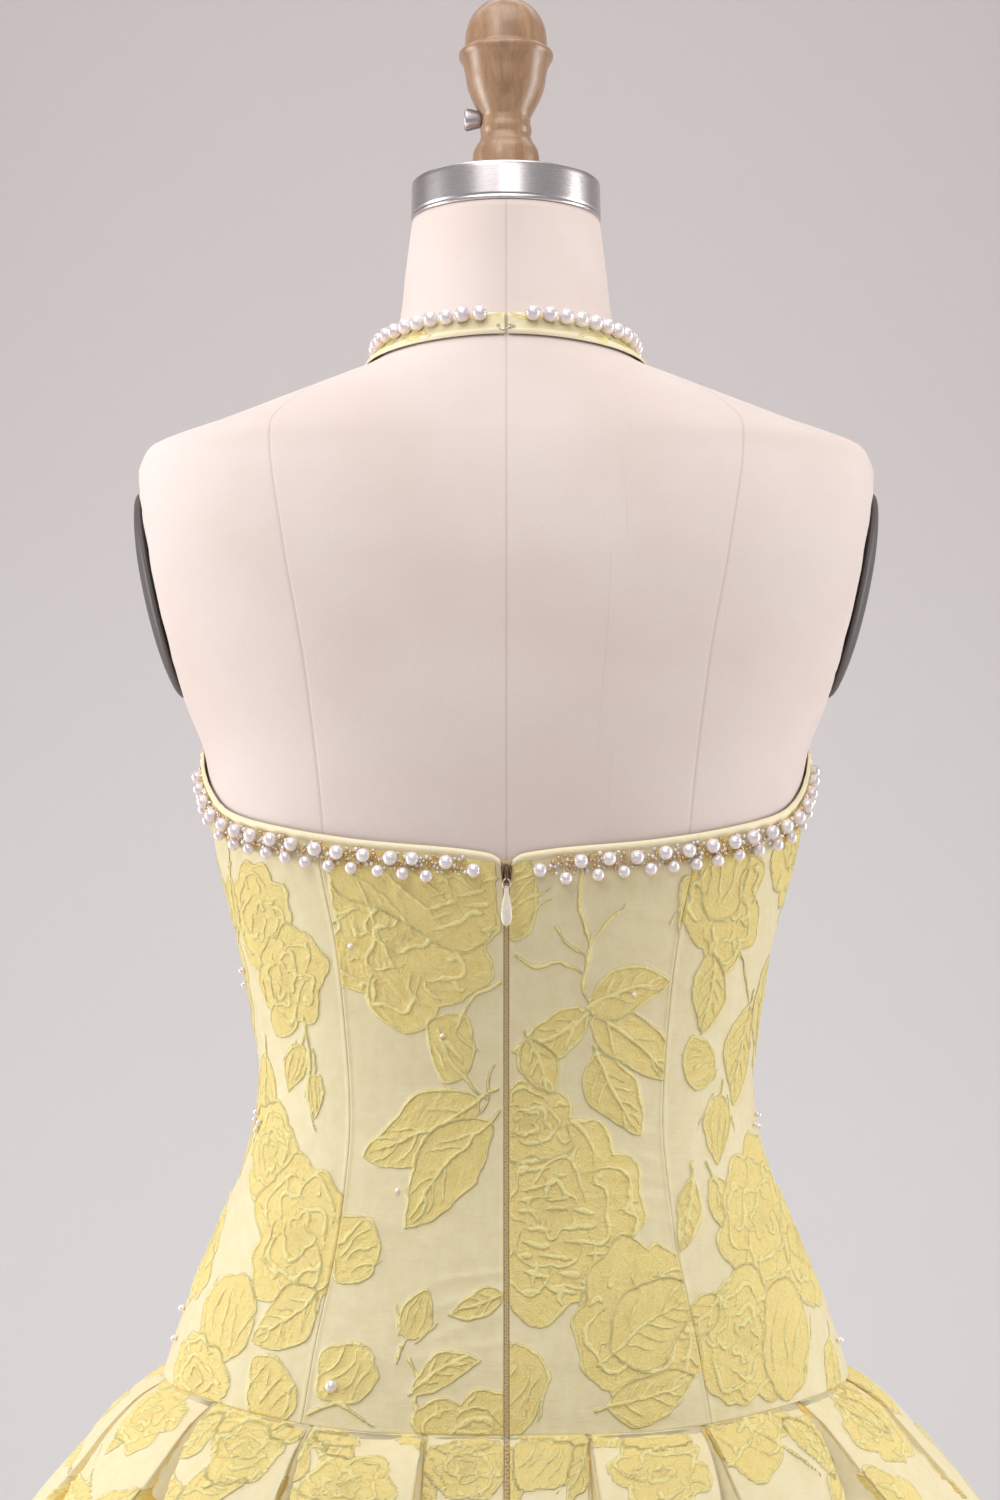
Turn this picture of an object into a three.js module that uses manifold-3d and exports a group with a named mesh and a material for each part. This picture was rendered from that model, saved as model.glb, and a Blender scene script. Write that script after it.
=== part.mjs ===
// A short homecoming dress in raised floral jacquard, worn by a limbless dress form on a round-footed stand.
// Millimetres, +Z up. The wearer's front faces +Y and the zipped back faces -Y; the wearer's left is -X.
// The origin is on the floor, under the middle of the stand.
// The dress: four back panels and four front panels sewn at princess, side and centre seams; a halter band
// that hooks at the nape; a box-pleated skirt in three pieces; a centre-back zip; bead trims along the edges.
import * as THREE from "three";
import { mergeVertices } from "three/addons/utils/BufferGeometryUtils.js";
import Module from "manifold-3d";

const wasm = await Module();
wasm.setup();

// ---------------------------------------------------------------- driving sizes, mm
const GAP_FORM = 1.35; // air between the form and the cloth
const CLOTH = 1.65; // bodice wall: jacquard, boned lining
const SKIRT_CLOTH = 1.4; // skirt wall
const SEAM_GAP = 0.4; // between neighbouring pieces
const ZIP_GAP = 2.6; // opening between the two centre-back edges
const ZIP_TOP = 1157.4;
const ZIP_END = 836;
const HIP_Z = 886; // the dropped waist seam
const FORM_BOTTOM_Z = 772;
const NECK_TOP_Z = 1490.8;
const BAND_JOIN_Z = 1385; // where the halter band is sewn to the front
const LOBES = 7.5; // box pleats on each side, the last half one at centre front
const CENTRE_HALF = 38; // half of the plain centre-back section of the skirt
const FOOT_R = 220;
const FOOT_H = 12;
const POLE_R = 16;

// Dress form, one row for each level: half width, middle line, depth behind it and in front of it, squareness.
const FORM = [
  { z: 772, half: 174, mid: 0, back: 112, front: 92, sq: 2.3 },
  { z: 830, half: 182, mid: 0, back: 120, front: 97, sq: 2.3 },
  { z: 886, half: 175.7, mid: 0, back: 113.5, front: 98, sq: 2.25 },
  { z: 918, half: 166.4, mid: 0, back: 107, front: 97.5, sq: 2.25 },
  { z: 939, half: 158.5, mid: 0, back: 101, front: 96, sq: 2.25 },
  { z: 959, half: 149.9, mid: 0, back: 95.5, front: 93.5, sq: 2.25 },
  { z: 980, half: 141.4, mid: 0, back: 90, front: 90.5, sq: 2.25 },
  { z: 1001, half: 132.7, mid: 0, back: 85.5, front: 87, sq: 2.25 },
  { z: 1032, half: 125.9, mid: 0, back: 81, front: 84, sq: 2.25 },
  { z: 1045, half: 125.1, mid: 0, back: 80.5, front: 84, sq: 2.25 },
  { z: 1074, half: 128, mid: 0, back: 82, front: 86, sq: 2.25 },
  { z: 1115, half: 135.5, mid: 0, back: 89, front: 91, sq: 2.3 },
  { z: 1136, half: 140.4, mid: 0, back: 93.5, front: 94, sq: 2.3 },
  { z: 1162, half: 147.2, mid: 0, back: 99, front: 97, sq: 2.35 },
  { z: 1185, half: 150.9, mid: 0, back: 102, front: 99, sq: 2.4 },
  { z: 1212, half: 155.3, mid: 0, back: 104.5, front: 100, sq: 2.5 },
  { z: 1239, half: 166, mid: 0, back: 106, front: 99, sq: 2.6 },
  { z: 1270, half: 179, mid: 0, back: 106, front: 96, sq: 2.7 },
  { z: 1302, half: 188, mid: 0, back: 104.5, front: 90, sq: 2.7 },
  { z: 1330, half: 192, mid: 0, back: 100, front: 80.5, sq: 2.6 },
  { z: 1350, half: 191, mid: 0, back: 94.5, front: 71.5, sq: 2.5 },
  { z: 1362, half: 188, mid: 0, back: 90, front: 66, sq: 2.4 },
  { z: 1368.5, half: 184, mid: 0, back: 87, front: 63, sq: 2.4 },
  { z: 1373, half: 174, mid: 0, back: 84.5, front: 61.5, sq: 2.4 },
  { z: 1380.6, half: 152.6, mid: 0, back: 80.5, front: 59.5, sq: 2.3 },
  { z: 1393, half: 121, mid: 0.5, back: 73.5, front: 56.5, sq: 2.2 },
  { z: 1404.7, half: 90.5, mid: 1.5, back: 67.5, front: 54.5, sq: 2.15 },
  { z: 1412, half: 72, mid: 3, back: 65, front: 52.5, sq: 2.1 },
  { z: 1420, half: 62.5, mid: 5, back: 62, front: 50.5, sq: 2.05 },
  { z: 1430, half: 57.5, mid: 7, back: 59, front: 49.3, sq: 2.0 },
  { z: 1440, half: 55.2, mid: 8.5, back: 57, front: 49.2, sq: 2.0 },
  { z: 1464, half: 52.6, mid: 11, back: 53.5, front: 49.6, sq: 2.0 },
  { z: 1490.8, half: 49.2, mid: 12, back: 49.2, front: 49.2, sq: 2.0 },
];
// The flat armhole cut on each side: half width at two levels.
const ARM_CUT = { lowZ: 1239, lowX: 163.6, highZ: 1353, highX: 187.6 };
const BUST = { x: 74, z: 1203, out: 31, sx: 44, below: 46, above: 58 };

// Seams and edges, as distance from the centre line at each level.
const BACK_PRINCESS = [
  { z: 886, x: 97.4 }, { z: 921, x: 91.7 }, { z: 981, x: 80 }, { z: 1030, x: 75.7 },
  { z: 1089, x: 79.2 }, { z: 1115, x: 82 }, { z: 1153, x: 89 }, { z: 1180, x: 93.5 },
];
const FRONT_PRINCESS = [
  { z: 886, x: 90 }, { z: 960, x: 74 }, { z: 1045, x: 61 }, { z: 1110, x: 65 }, { z: 1160, x: 72 },
  { z: 1203, x: 79 }, { z: 1232, x: 89 }, { z: 1254, x: 106 }, { z: 1272, x: 128 },
];
const ARMHOLE = [
  { z: 1272, x: 128 }, { z: 1290, x: 117.5 }, { z: 1312, x: 108.5 }, { z: 1340, x: 99 },
  { z: 1365, x: 91 }, { z: 1385, x: 84.5 },
];
const NECKLINE = [
  { z: 1230, x: 0 }, { z: 1238, x: 8 }, { z: 1258, x: 23 }, { z: 1286, x: 38 },
  { z: 1320, x: 49.5 }, { z: 1355, x: 57.5 }, { z: 1385, x: 61.5 },
];
// Upper edges: height against the share of the panel's width, from its centre side to its outer side.
const TOP_CENTRE_BACK = [{ s: 0, z: 1158.6 }, { s: 0.035, z: 1161 }, { s: 0.08, z: 1162 }, { s: 0.75, z: 1168 }, { s: 1, z: 1171 }];
const TOP_SIDE_BACK = [
  { s: 0, z: 1171 }, { s: 0.14, z: 1173.6 }, { s: 0.43, z: 1180 }, { s: 0.56, z: 1184.6 },
  { s: 0.7, z: 1193.6 }, { s: 0.85, z: 1204.5 }, { s: 1, z: 1214 },
];
const TOP_SIDE_FRONT = [{ s: 0, z: 1272 }, { s: 0.2, z: 1260 }, { s: 0.45, z: 1240 }, { s: 0.7, z: 1222.5 }, { s: 0.88, z: 1215 }, { s: 1, z: 1214 }];
// Halter band from the front join to the nape: height of the neck-side edge and the outer edge, and the place
// round the neck (0 nape, 1 side, 2 throat) or the distance from the centre line while it is on the chest.
const BAND = [
  { zin: 1385, xin: 61.5, zout: 1385, xout: 84.5 },
  { zin: 1395, xin: 61.6, zout: 1393, xout: 80.5 },
  { zin: 1404, xin: 60.2, zout: 1399.5, xout: 77.2 },
  { zin: 1411.5, xin: 57.6, zout: 1404.5, xout: 74.4 },
  { zin: 1416.6, gin: 1.33, zout: 1407.4, gout: 1.25 },
  { zin: 1420.4, gin: 1.16, zout: 1409.6, gout: 1.12 },
  { zin: 1422.2, gin: 1, zout: 1411.1, gout: 1 },
  { zin: 1423.4, gin: 0.86, zout: 1412.2, gout: 0.86 },
  { zin: 1424.8, gin: 0.7, zout: 1413.4, gout: 0.7 },
  { zin: 1426.2, gin: 0.54, zout: 1414.7, gout: 0.54 },
  { zin: 1427.6, gin: 0.38, zout: 1415.9, gout: 0.38 },
  { zin: 1428.8, gin: 0.22, zout: 1416.9, gout: 0.22 },
  { zin: 1429.3, gin: 0.1, zout: 1417.4, gout: 0.1 },
  { zin: 1429.6, gin: 0.008, zout: 1417.6, gout: 0.008 },
];
// Skirt, one row for each level: how far it flares from the seam ring, half width of the slit between two pleats
// (share of half a pleat), depth of that slit, drop of the pleat's own edge, and recess of the centre-back section.
const SKIRT = [
  { z: 885.5, flare: 1.5, slit: 0.03, depth: 1.0, edge: 0.0, recess: 0 },
  { z: 880, flare: 12.5, slit: 0.035, depth: 8, edge: 0.4, recess: 4 },
  { z: 870, flare: 25, slit: 0.05, depth: 15, edge: 1.2, recess: 6.5 },
  { z: 850, flare: 44, slit: 0.09, depth: 22, edge: 2.3, recess: 8.5 },
  { z: 824, flare: 67, slit: 0.14, depth: 27, edge: 3.8, recess: 10 },
  { z: 790, flare: 93.5, slit: 0.175, depth: 31.5, edge: 5.5, recess: 11 },
  { z: 745, flare: 121.5, slit: 0.205, depth: 36, edge: 7.4, recess: 12 },
  { z: 690, flare: 147, slit: 0.23, depth: 40, edge: 9.2, recess: 12 },
  { z: 625, flare: 168, slit: 0.255, depth: 44.5, edge: 11, recess: 12 },
  { z: 560, flare: 179, slit: 0.27, depth: 48, edge: 12.4, recess: 12 },
];
const FRONT_FLARE = 1.08; // the skirt's front flares this much more than its back

// Wooden finial, outline from its foot to its top.
const FINIAL = [
  { z: 1511.5, r: 17.2 }, { z: 1527, r: 17.2 }, { z: 1533, r: 16.4 }, { z: 1536, r: 14 }, { z: 1538.6, r: 12.4 },
  { z: 1544.6, r: 12.4 }, { z: 1549, r: 14.6 }, { z: 1555, r: 17.7 }, { z: 1563, r: 20.6 }, { z: 1571, r: 21.7 },
  { z: 1573.5, r: 23.7 }, { z: 1577.5, r: 25 }, { z: 1581.3, r: 23.6 }, { z: 1583, r: 21.9 }, { z: 1590, r: 21.4 },
  { z: 1597, r: 19 }, { z: 1603, r: 14.6 }, { z: 1607, r: 8 },
];
const FINIAL_TOP_Z = 1608.5;
const NECK_Y = 12;

// ---------------------------------------------------------------- smooth tables
function table(rows, key) {
  const xs = rows.map((r) => r[key]);
  const slopes = {};
  const fields = Object.keys(rows[0]).filter((k) => k !== key);
  for (const f of fields) {
    const y = rows.map((r) => r[f]);
    const d = xs.slice(1).map((x, i) => (y[i + 1] - y[i]) / (x - xs[i]));
    slopes[f] = xs.map((_, i) => {
      if (i === 0) return d[0];
      if (i === xs.length - 1) return d[d.length - 1];
      if (d[i - 1] * d[i] <= 0) return 0;
      const h0 = xs[i] - xs[i - 1], h1 = xs[i + 1] - xs[i];
      const w0 = 2 * h1 + h0, w1 = h1 + 2 * h0;
      return (w0 + w1) / (w0 / d[i - 1] + w1 / d[i]);
    });
  }
  return (x, f) => {
    const up = xs[xs.length - 1] > xs[0];
    let i = 0;
    while (i < xs.length - 2 && (up ? x > xs[i + 1] : x < xs[i + 1])) i++;
    const h = xs[i + 1] - xs[i];
    const t = Math.min(1, Math.max(0, (x - xs[i]) / h));
    const a = rows[i][f], b = rows[i + 1][f], ma = slopes[f][i] * h, mb = slopes[f][i + 1] * h;
    const t2 = t * t, t3 = t2 * t;
    return a * (2 * t3 - 3 * t2 + 1) + ma * (t3 - 2 * t2 + t) + b * (3 * t2 - 2 * t3) + mb * (t3 - t2);
  };
}
const form = table(FORM, "z");
const backPrincess = table(BACK_PRINCESS, "z");
const frontPrincess = table(FRONT_PRINCESS, "z");
const armhole = table(ARMHOLE, "z");
const neckline = table(NECKLINE, "z");
const topCentreBack = table(TOP_CENTRE_BACK, "s");
const topSideBack = table(TOP_SIDE_BACK, "s");
const topSideFront = table(TOP_SIDE_FRONT, "s");
const skirtRow = table([...SKIRT].reverse(), "z");

// ---------------------------------------------------------------- the form's surface
const QUARTER = 160;
const cache = new Map();
function quarter(z, front) {
  const key = z.toFixed(3) + front;
  if (cache.has(key)) return cache.get(key);
  const half = form(z, "half"), e = 2 / form(z, "sq"), depth = form(z, front ? "front" : "back"), mid = form(z, "mid");
  const pts = [], run = [0];
  for (let i = 0; i <= QUARTER; i++) {
    const a = (i / QUARTER) * Math.PI / 2;
    const x = half * Math.pow(Math.sin(a), e);
    const y = mid + (front ? 1 : -1) * depth * Math.pow(Math.max(0, Math.cos(a)), e);
    pts.push([x, y]);
    if (i) run.push(run[i - 1] + Math.hypot(x - pts[i - 1][0], y - pts[i - 1][1]));
  }
  const made = { pts, run, length: run[QUARTER] };
  cache.set(key, made);
  return made;
}
function along(q, share) {
  const want = Math.min(1, Math.max(0, share)) * q.length;
  let lo = 0, hi = QUARTER;
  while (hi - lo > 1) {
    const m = (lo + hi) >> 1;
    if (q.run[m] > want) hi = m;
    else lo = m;
  }
  const t = (want - q.run[lo]) / (q.run[hi] - q.run[lo] || 1);
  return [q.pts[lo][0] + t * (q.pts[hi][0] - q.pts[lo][0]), q.pts[lo][1] + t * (q.pts[hi][1] - q.pts[lo][1])];
}
// Round one side of the body: g is 0 at centre back, 1 at the side, 2 at centre front.
function bare(g, z) {
  const front = g > 1;
  const [x, y0] = along(quarter(z, front), front ? 2 - g : g);
  let y = y0;
  if (front) {
    const s = z < BUST.z ? BUST.below : BUST.above;
    const swell = Math.exp(-((x - BUST.x) ** 2) / (2 * BUST.sx ** 2)) + Math.exp(-((x + BUST.x) ** 2) / (2 * BUST.sx ** 2));
    const fade = Math.min(1, (2 - (2 - g) * 1) - 1 > 0 ? (g - 1) / 0.3 : 0);
    y += BUST.out * swell * Math.exp(-((z - BUST.z) ** 2) / (2 * s * s)) * fade * fade * (3 - 2 * fade);
  }
  const cut = ARM_CUT.lowX + ((z - ARM_CUT.lowZ) * (ARM_CUT.highX - ARM_CUT.lowX)) / (ARM_CUT.highZ - ARM_CUT.lowZ);
  return [z > ARM_CUT.lowZ - 20 && z < 1375 ? Math.min(x, cut) : x, y, z];
}
const sub = (a, b) => [a[0] - b[0], a[1] - b[1], a[2] - b[2]];
const cross = (a, b) => [a[1] * b[2] - a[2] * b[1], a[2] * b[0] - a[0] * b[2], a[0] * b[1] - a[1] * b[0]];
const norm = (a) => { const l = Math.hypot(...a) || 1; return a.map((v) => v / l); };
function mirrorG(g) { return g < 0 ? [-g, -1] : g > 2 ? [4 - g, -1] : [g, 1]; }
function wide(g, z) {
  const [h, s] = mirrorG(g);
  const p = bare(h, z);
  return [p[0] * s, p[1], p[2]];
}
function normal(g, z) {
  const e = 0.012, h = 0.8;
  const du = sub(wide(g + e, z), wide(g - e, z));
  const dz = sub(wide(g, Math.min(z + h, NECK_TOP_Z)), wide(g, Math.max(z - h, FORM_BOTTOM_Z)));
  return norm(cross(du, dz));
}
// A point off the surface by out, on the wearer's right (side 1) or left (side -1).
function at(side, g, z, out) {
  const p = wide(g, z), n = normal(g, z);
  return [side * (p[0] + n[0] * out), p[1] + n[1] * out, p[2] + n[2] * out];
}
// g of the point that is x from the centre line, on the back or front quarter.
function gOf(x, z, front) {
  const q = quarter(z, front);
  let i = 0;
  while (i < QUARTER - 1 && q.pts[i + 1][0] < x) i++;
  const t = Math.min(1, Math.max(0, (x - q.pts[i][0]) / (q.pts[i + 1][0] - q.pts[i][0] || 1)));
  const share = (q.run[i] + t * (q.run[i + 1] - q.run[i])) / q.length;
  return front ? 2 - share : share;
}

// ---------------------------------------------------------------- closed walls from two grids of points
function wall(outer, inner, flip) {
  const rows = outer.length, cols = outer[0].length;
  const v = [], f = [];
  for (const grid of [outer, inner]) for (const row of grid) for (const p of row) v.push(...p);
  const id = (k, r, c) => k * rows * cols + r * cols + c;
  const tri = (a, b, c) => (flip ? f.push(a, c, b) : f.push(a, b, c));
  const quad = (a, b, c, d) => { tri(a, b, c); tri(a, c, d); };
  for (let r = 0; r < rows - 1; r++)
    for (let c = 0; c < cols - 1; c++) {
      quad(id(0, r, c), id(0, r, c + 1), id(0, r + 1, c + 1), id(0, r + 1, c));
      quad(id(1, r, c), id(1, r + 1, c), id(1, r + 1, c + 1), id(1, r, c + 1));
    }
  for (let c = 0; c < cols - 1; c++) {
    quad(id(0, 0, c), id(1, 0, c), id(1, 0, c + 1), id(0, 0, c + 1));
    quad(id(0, rows - 1, c), id(0, rows - 1, c + 1), id(1, rows - 1, c + 1), id(1, rows - 1, c));
  }
  for (let r = 0; r < rows - 1; r++) {
    quad(id(0, r, 0), id(0, r + 1, 0), id(1, r + 1, 0), id(1, r, 0));
    quad(id(0, r, cols - 1), id(1, r, cols - 1), id(1, r + 1, cols - 1), id(0, r + 1, cols - 1));
  }
  const g = new THREE.BufferGeometry();
  g.setAttribute("position", new THREE.Float32BufferAttribute(v, 3));
  g.setIndex(f);
  return outwards(g);
}
function outwards(g) {
  const p = g.attributes.position, i = g.index;
  let vol = 0;
  const a = new THREE.Vector3(), b = new THREE.Vector3(), c = new THREE.Vector3();
  for (let k = 0; k < i.count; k += 3) {
    a.fromBufferAttribute(p, i.getX(k)); b.fromBufferAttribute(p, i.getX(k + 1)); c.fromBufferAttribute(p, i.getX(k + 2));
    vol += a.dot(b.cross(c));
  }
  if (vol < 0) for (let k = 0; k < i.count; k += 3) { const t = i.getX(k + 1); i.setX(k + 1, i.getX(k + 2)); i.setX(k + 2, t); }
  g.computeVertexNormals();
  return g;
}
const steps = (n) => Array.from({ length: n + 1 }, (_, i) => i / n);
const mix = (a, b, t) => a + (b - a) * t;

// ---------------------------------------------------------------- materials
const cloth = new THREE.MeshStandardMaterial({ color: 0xead990, roughness: 0.62, metalness: 0 });
const skirtCloth = new THREE.MeshStandardMaterial({ color: 0xecdc98, roughness: 0.62, metalness: 0 });
const linen = new THREE.MeshStandardMaterial({ color: 0xe6d8ce, roughness: 0.85, metalness: 0 });
const steel = new THREE.MeshStandardMaterial({ color: 0xb9b9be, roughness: 0.3, metalness: 0.95 });
const greyPlate = new THREE.MeshStandardMaterial({ color: 0x8d888a, roughness: 0.45, metalness: 0.6 });
const wood = new THREE.MeshStandardMaterial({ color: 0xa98b6c, roughness: 0.5, metalness: 0 });
const pearl = new THREE.MeshStandardMaterial({ color: 0xf3eeec, roughness: 0.25, metalness: 0 });
const enamel = new THREE.MeshStandardMaterial({ color: 0xd9cfc0, roughness: 0.35, metalness: 0.2 });
const tape = new THREE.MeshStandardMaterial({ color: 0xa28c66, roughness: 0.7, metalness: 0 });
const iron = new THREE.MeshStandardMaterial({ color: 0x8f8a88, roughness: 0.5, metalness: 0.7 });

const dress = new THREE.Group();
const stand = new THREE.Group();
const model = new THREE.Group();
model.add(dress, stand);
function add(group, name, geometry, material) {
  const m = new THREE.Mesh(geometry, material);
  m.name = name;
  group.add(m);
  return m;
}

// ---------------------------------------------------------------- bodice panels
// from and to give g at a level, top gives the height of the upper edge at a share of the width.
function panel(side, from, to, top, widthSteps, heights) {
  const build = (out) =>
    heights.map((v) =>
      widthSteps.map((s) => {
        const z = mix(HIP_Z, top(s), v);
        return at(side, mix(from(z), to(z), s), z, out);
      }),
    );
  return wall(build(GAP_FORM + CLOTH), build(GAP_FORM), side < 0);
}
const perMm = (z, g) => {
  const a = wide(g + 0.01, z), b = wide(g - 0.01, z);
  return 0.02 / Math.hypot(...sub(a, b)); // change of g for one millimetre of arc
};
const backLine = (z) => gOf(backPrincess(z, "x"), z, false);
const frontLine = (z) => gOf(z <= 1272 ? frontPrincess(z, "x") : armhole(z, "x"), z, true);
const neckEdge = (z) => (z <= 1230 ? 2 - (SEAM_GAP / 2) * perMm(z, 1.9) : gOf(Math.max(neckline(z, "x"), SEAM_GAP / 2), z, true));
const half = SEAM_GAP / 2;

const LOW = steps(13);
for (const [side, hand] of [[-1, "left"], [1, "right"]]) {
  add(dress, "center_back_" + hand,
    panel(side, (z) => (ZIP_GAP / 2) * perMm(z, 0.05), (z) => backLine(z) - half * perMm(z, backLine(z)),
      (s) => topCentreBack(s, "z"), [0, 0.08, 0.3, 0.54, 0.78, 1], LOW), cloth);
  add(dress, "side_back_" + hand,
    panel(side, (z) => backLine(z) + half * perMm(z, backLine(z)), (z) => 1 - half * perMm(z, 0.95),
      (s) => topSideBack(s, "z"), [0, 0.15, 0.3, 0.45, 0.6, 0.75, 0.88, 1], LOW), cloth);
  add(dress, "side_front_" + hand,
    panel(side, (z) => frontLine(Math.min(z, 1272)) - half * perMm(z, 1.5), (z) => 1 + half * perMm(z, 1.05),
      (s) => topSideFront(s, "z"), steps(7), steps(16)), cloth);
  const levels = [886, 920, 954, 984, 1012, 1040, 1068, 1098, 1124, 1148, 1168, 1186, 1202, 1218, 1230, 1239, 1249, 1260, 1272, 1290, 1312, 1340, 1365, BAND_JOIN_Z - half];
  const build = (out) =>
    levels.map((z) =>
      steps(6).map((s) => at(side, mix(neckEdge(z), frontLine(z) + half * perMm(z, 1.5), s), z, out)),
    );
  add(dress, "center_front_" + hand, wall(build(GAP_FORM + CLOTH), build(GAP_FORM), side < 0), cloth);
}

// ---------------------------------------------------------------- halter band
const bandEdge = (row, which) => {
  const z = row["z" + which];
  return { z, g: row["g" + which] ?? gOf(row["x" + which], z, true) };
};
const bandRows = BAND.map((r, i) => ({
  t: i,
  zin: r.zin + (i ? 0 : half), zout: r.zout + (i ? 0 : half),
  gin: bandEdge(r, "in").g, gout: bandEdge(r, "out").g,
}));
const band = table(bandRows, "t");
const bandEnd = BAND.length - 1;
const bandAt = (side, t, w, out) => at(side, mix(band(t, "gin"), band(t, "gout"), w), mix(band(t, "zin"), band(t, "zout"), w), out);
for (const [side, hand] of [[-1, "left"], [1, "right"]]) {
  const build = (out) => steps(bandEnd * 2 - 2).map((t) => steps(2).map((w) => bandAt(side, t * bandEnd, w, out)));
  add(dress, "halter_band_" + hand, wall(build(GAP_FORM + CLOTH), build(GAP_FORM), side < 0), cloth);
}
{
  // Hook and bar that close the band at the nape.
  const c = at(1, 0, 1421.2, GAP_FORM + CLOTH + 0.9 + 0.6);
  const hook = new THREE.BoxGeometry(6.4, 1.2, 2.6);
  add(dress, "nape_hook", hook, steel).position.set(0, c[1], c[2]);
}

// ---------------------------------------------------------------- pleated skirt
const ring = (front) => quarter(HIP_Z, front).length;
const HALF_ROUND = ring(false) + ring(true);
const PLEAT = (HALF_ROUND - CENTRE_HALF) / LOBES;
function ringPoint(s) {
  const g = s < ring(false) ? s / ring(false) : 1 + (s - ring(false)) / ring(true);
  const p = at(1, g, HIP_Z, 0), n = norm([normal(g, HIP_Z)[0], normal(g, HIP_Z)[1], 0]);
  const q = at(1, g, HIP_Z, GAP_FORM + CLOTH);
  return { x: q[0], y: q[1], nx: n[0], ny: n[1], front: g };
}
// Skirt surface: s millimetres round the seam ring from centre back, on a level, moved in by inwards.
function skirtAt(side, s, z, drop) {
  const p = ringPoint(s);
  const f = Math.min(1, Math.max(0, p.front - 0.8) / 1.0);
  const flare = skirtRow(z, "flare") * mix(1, FRONT_FLARE, f * f * (3 - 2 * f)) - drop;
  return [side * (p.x + p.nx * flare), p.y + p.ny * flare, z];
}
// Stations across the skirt from centre back: place round the ring and drop below the pleat face.
function stations(z, fromPleat, toPleat) {
  const r = (f) => skirtRow(z, f);
  const out = [];
  const slit = (r("slit") * PLEAT) / 2;
  if (fromPleat === 0) {
    const open = z > ZIP_END - 20 ? ZIP_GAP : SEAM_GAP; // the two backs are sewn together below the zip
    for (const t of [open / 2 / CENTRE_HALF, 0.3, 0.62])
      out.push([t * CENTRE_HALF, r("recess")]);
    out.push([CENTRE_HALF - slit, r("recess") + r("edge") * 0.5]);
  }
  for (let k = fromPleat; k <= toPleat; k++) {
    const s0 = CENTRE_HALF + k * PLEAT;
    if (s0 > HALF_ROUND) break;
    if (k > fromPleat || fromPleat === 0) out.push([s0, r("depth")]);
    else out.push([s0 + half, r("depth")]);
    if (k === toPleat) { out[out.length - 1][0] = s0 - half; break; }
    for (const t of [slit / PLEAT, 0.33, 0.67, 1 - slit / PLEAT]) {
      const s = s0 + t * PLEAT;
      if (s > HALF_ROUND + 0.01) break;
      out.push([s, t < 0.3 || t > 0.7 ? r("edge") : 0]);
    }
    if (k + 1 > LOBES) out.push([HALF_ROUND, 0]);
  }
  return out;
}
// Moves each point of a level's outline in by the cloth's thickness, square to the outline.
function inset(line, by, side) {
  return line.map((p, i) => {
    const a = line[Math.max(0, i - 1)], b = line[Math.min(line.length - 1, i + 1)];
    const u1 = norm([p[0] - a[0], p[1] - a[1], 0]), u2 = norm([b[0] - p[0], b[1] - p[1], 0]);
    const first = i === 0 ? u2 : u1, second = i === line.length - 1 ? u1 : u2;
    let n = norm([-(first[1] + second[1]), first[0] + second[0], 0]);
    const k = Math.min(2.2, 1 / Math.max(0.3, Math.abs(n[0] * -first[1] + n[1] * first[0])));
    return [p[0] + side * n[0] * by * k, p[1] + side * n[1] * by * k, p[2]];
  });
}
const BACK_PLEATS = 3; // pleats in each back width, then in each side width; the front width takes the rest
const SIDE_PLEATS = 2;
for (const [side, hand] of [[-1, "left"], [1, "right"]]) {
  const outer = SKIRT.map((row) => stations(row.z, 0, BACK_PLEATS).map(([s, d]) => skirtAt(side, s, row.z, d)));
  const inner = outer.map((line) => inset(line, SKIRT_CLOTH, side));
  add(dress, "skirt_back_" + hand, wall(outer, inner, side < 0), skirtCloth);
}
for (const [side, hand] of [[-1, "left"], [1, "right"]]) {
  const outer = SKIRT.map((row) => stations(row.z, BACK_PLEATS, BACK_PLEATS + SIDE_PLEATS).map(([s, d]) => skirtAt(side, s, row.z, d)));
  const inner = outer.map((line) => inset(line, SKIRT_CLOTH, side));
  add(dress, "skirt_side_" + hand, wall(outer, inner, side < 0), skirtCloth);
}
{
  const outer = SKIRT.map((row) => {
    const right = stations(row.z, BACK_PLEATS + SIDE_PLEATS, 99).map(([s, d]) => skirtAt(1, s, row.z, d));
    const left = stations(row.z, BACK_PLEATS + SIDE_PLEATS, 99).map(([s, d]) => skirtAt(-1, s, row.z, d)).reverse();
    return [...right, ...left.slice(1)];
  });
  const inner = outer.map((line) => inset(line, SKIRT_CLOTH, 1));
  add(dress, "skirt_front", wall(outer, inner, false), skirtCloth);
}

// ---------------------------------------------------------------- zip
const backY = (z) => (z >= HIP_Z - 1 ? at(1, 0, Math.max(z, HIP_Z), GAP_FORM + CLOTH)[1] : skirtAt(1, 0, z, skirtRow(z, "recess"))[1]);
{
  const levels = [ZIP_TOP, 1128, 1100, 1075, 1050, 1025, 1000, 975, 950, 925, 900, 886, 880, 872, 860, 848, ZIP_END];
  const line = levels.map((z) => [backY(z), z]);
  const strip = (depth) =>
    line.map((p, i) => {
      const a = line[Math.max(0, i - 1)], b = line[Math.min(line.length - 1, i + 1)];
      const t = norm([b[0] - a[0], b[1] - a[1], 0]);
      const n = [-t[1], t[0]]; // away from the body is -Y
      const s = n[0] > 0 ? 1 : -1;
      return [-0.85, 0.85].map((x) => [x, p[0] + s * n[0] * depth, p[1] + s * n[1] * depth]);
    });
  add(dress, "zip_chain", wall(strip(0.45), strip(1.45), false), tape);
}
const SLIDER_FACE = Math.min(backY(1156), backY(1147));
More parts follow.
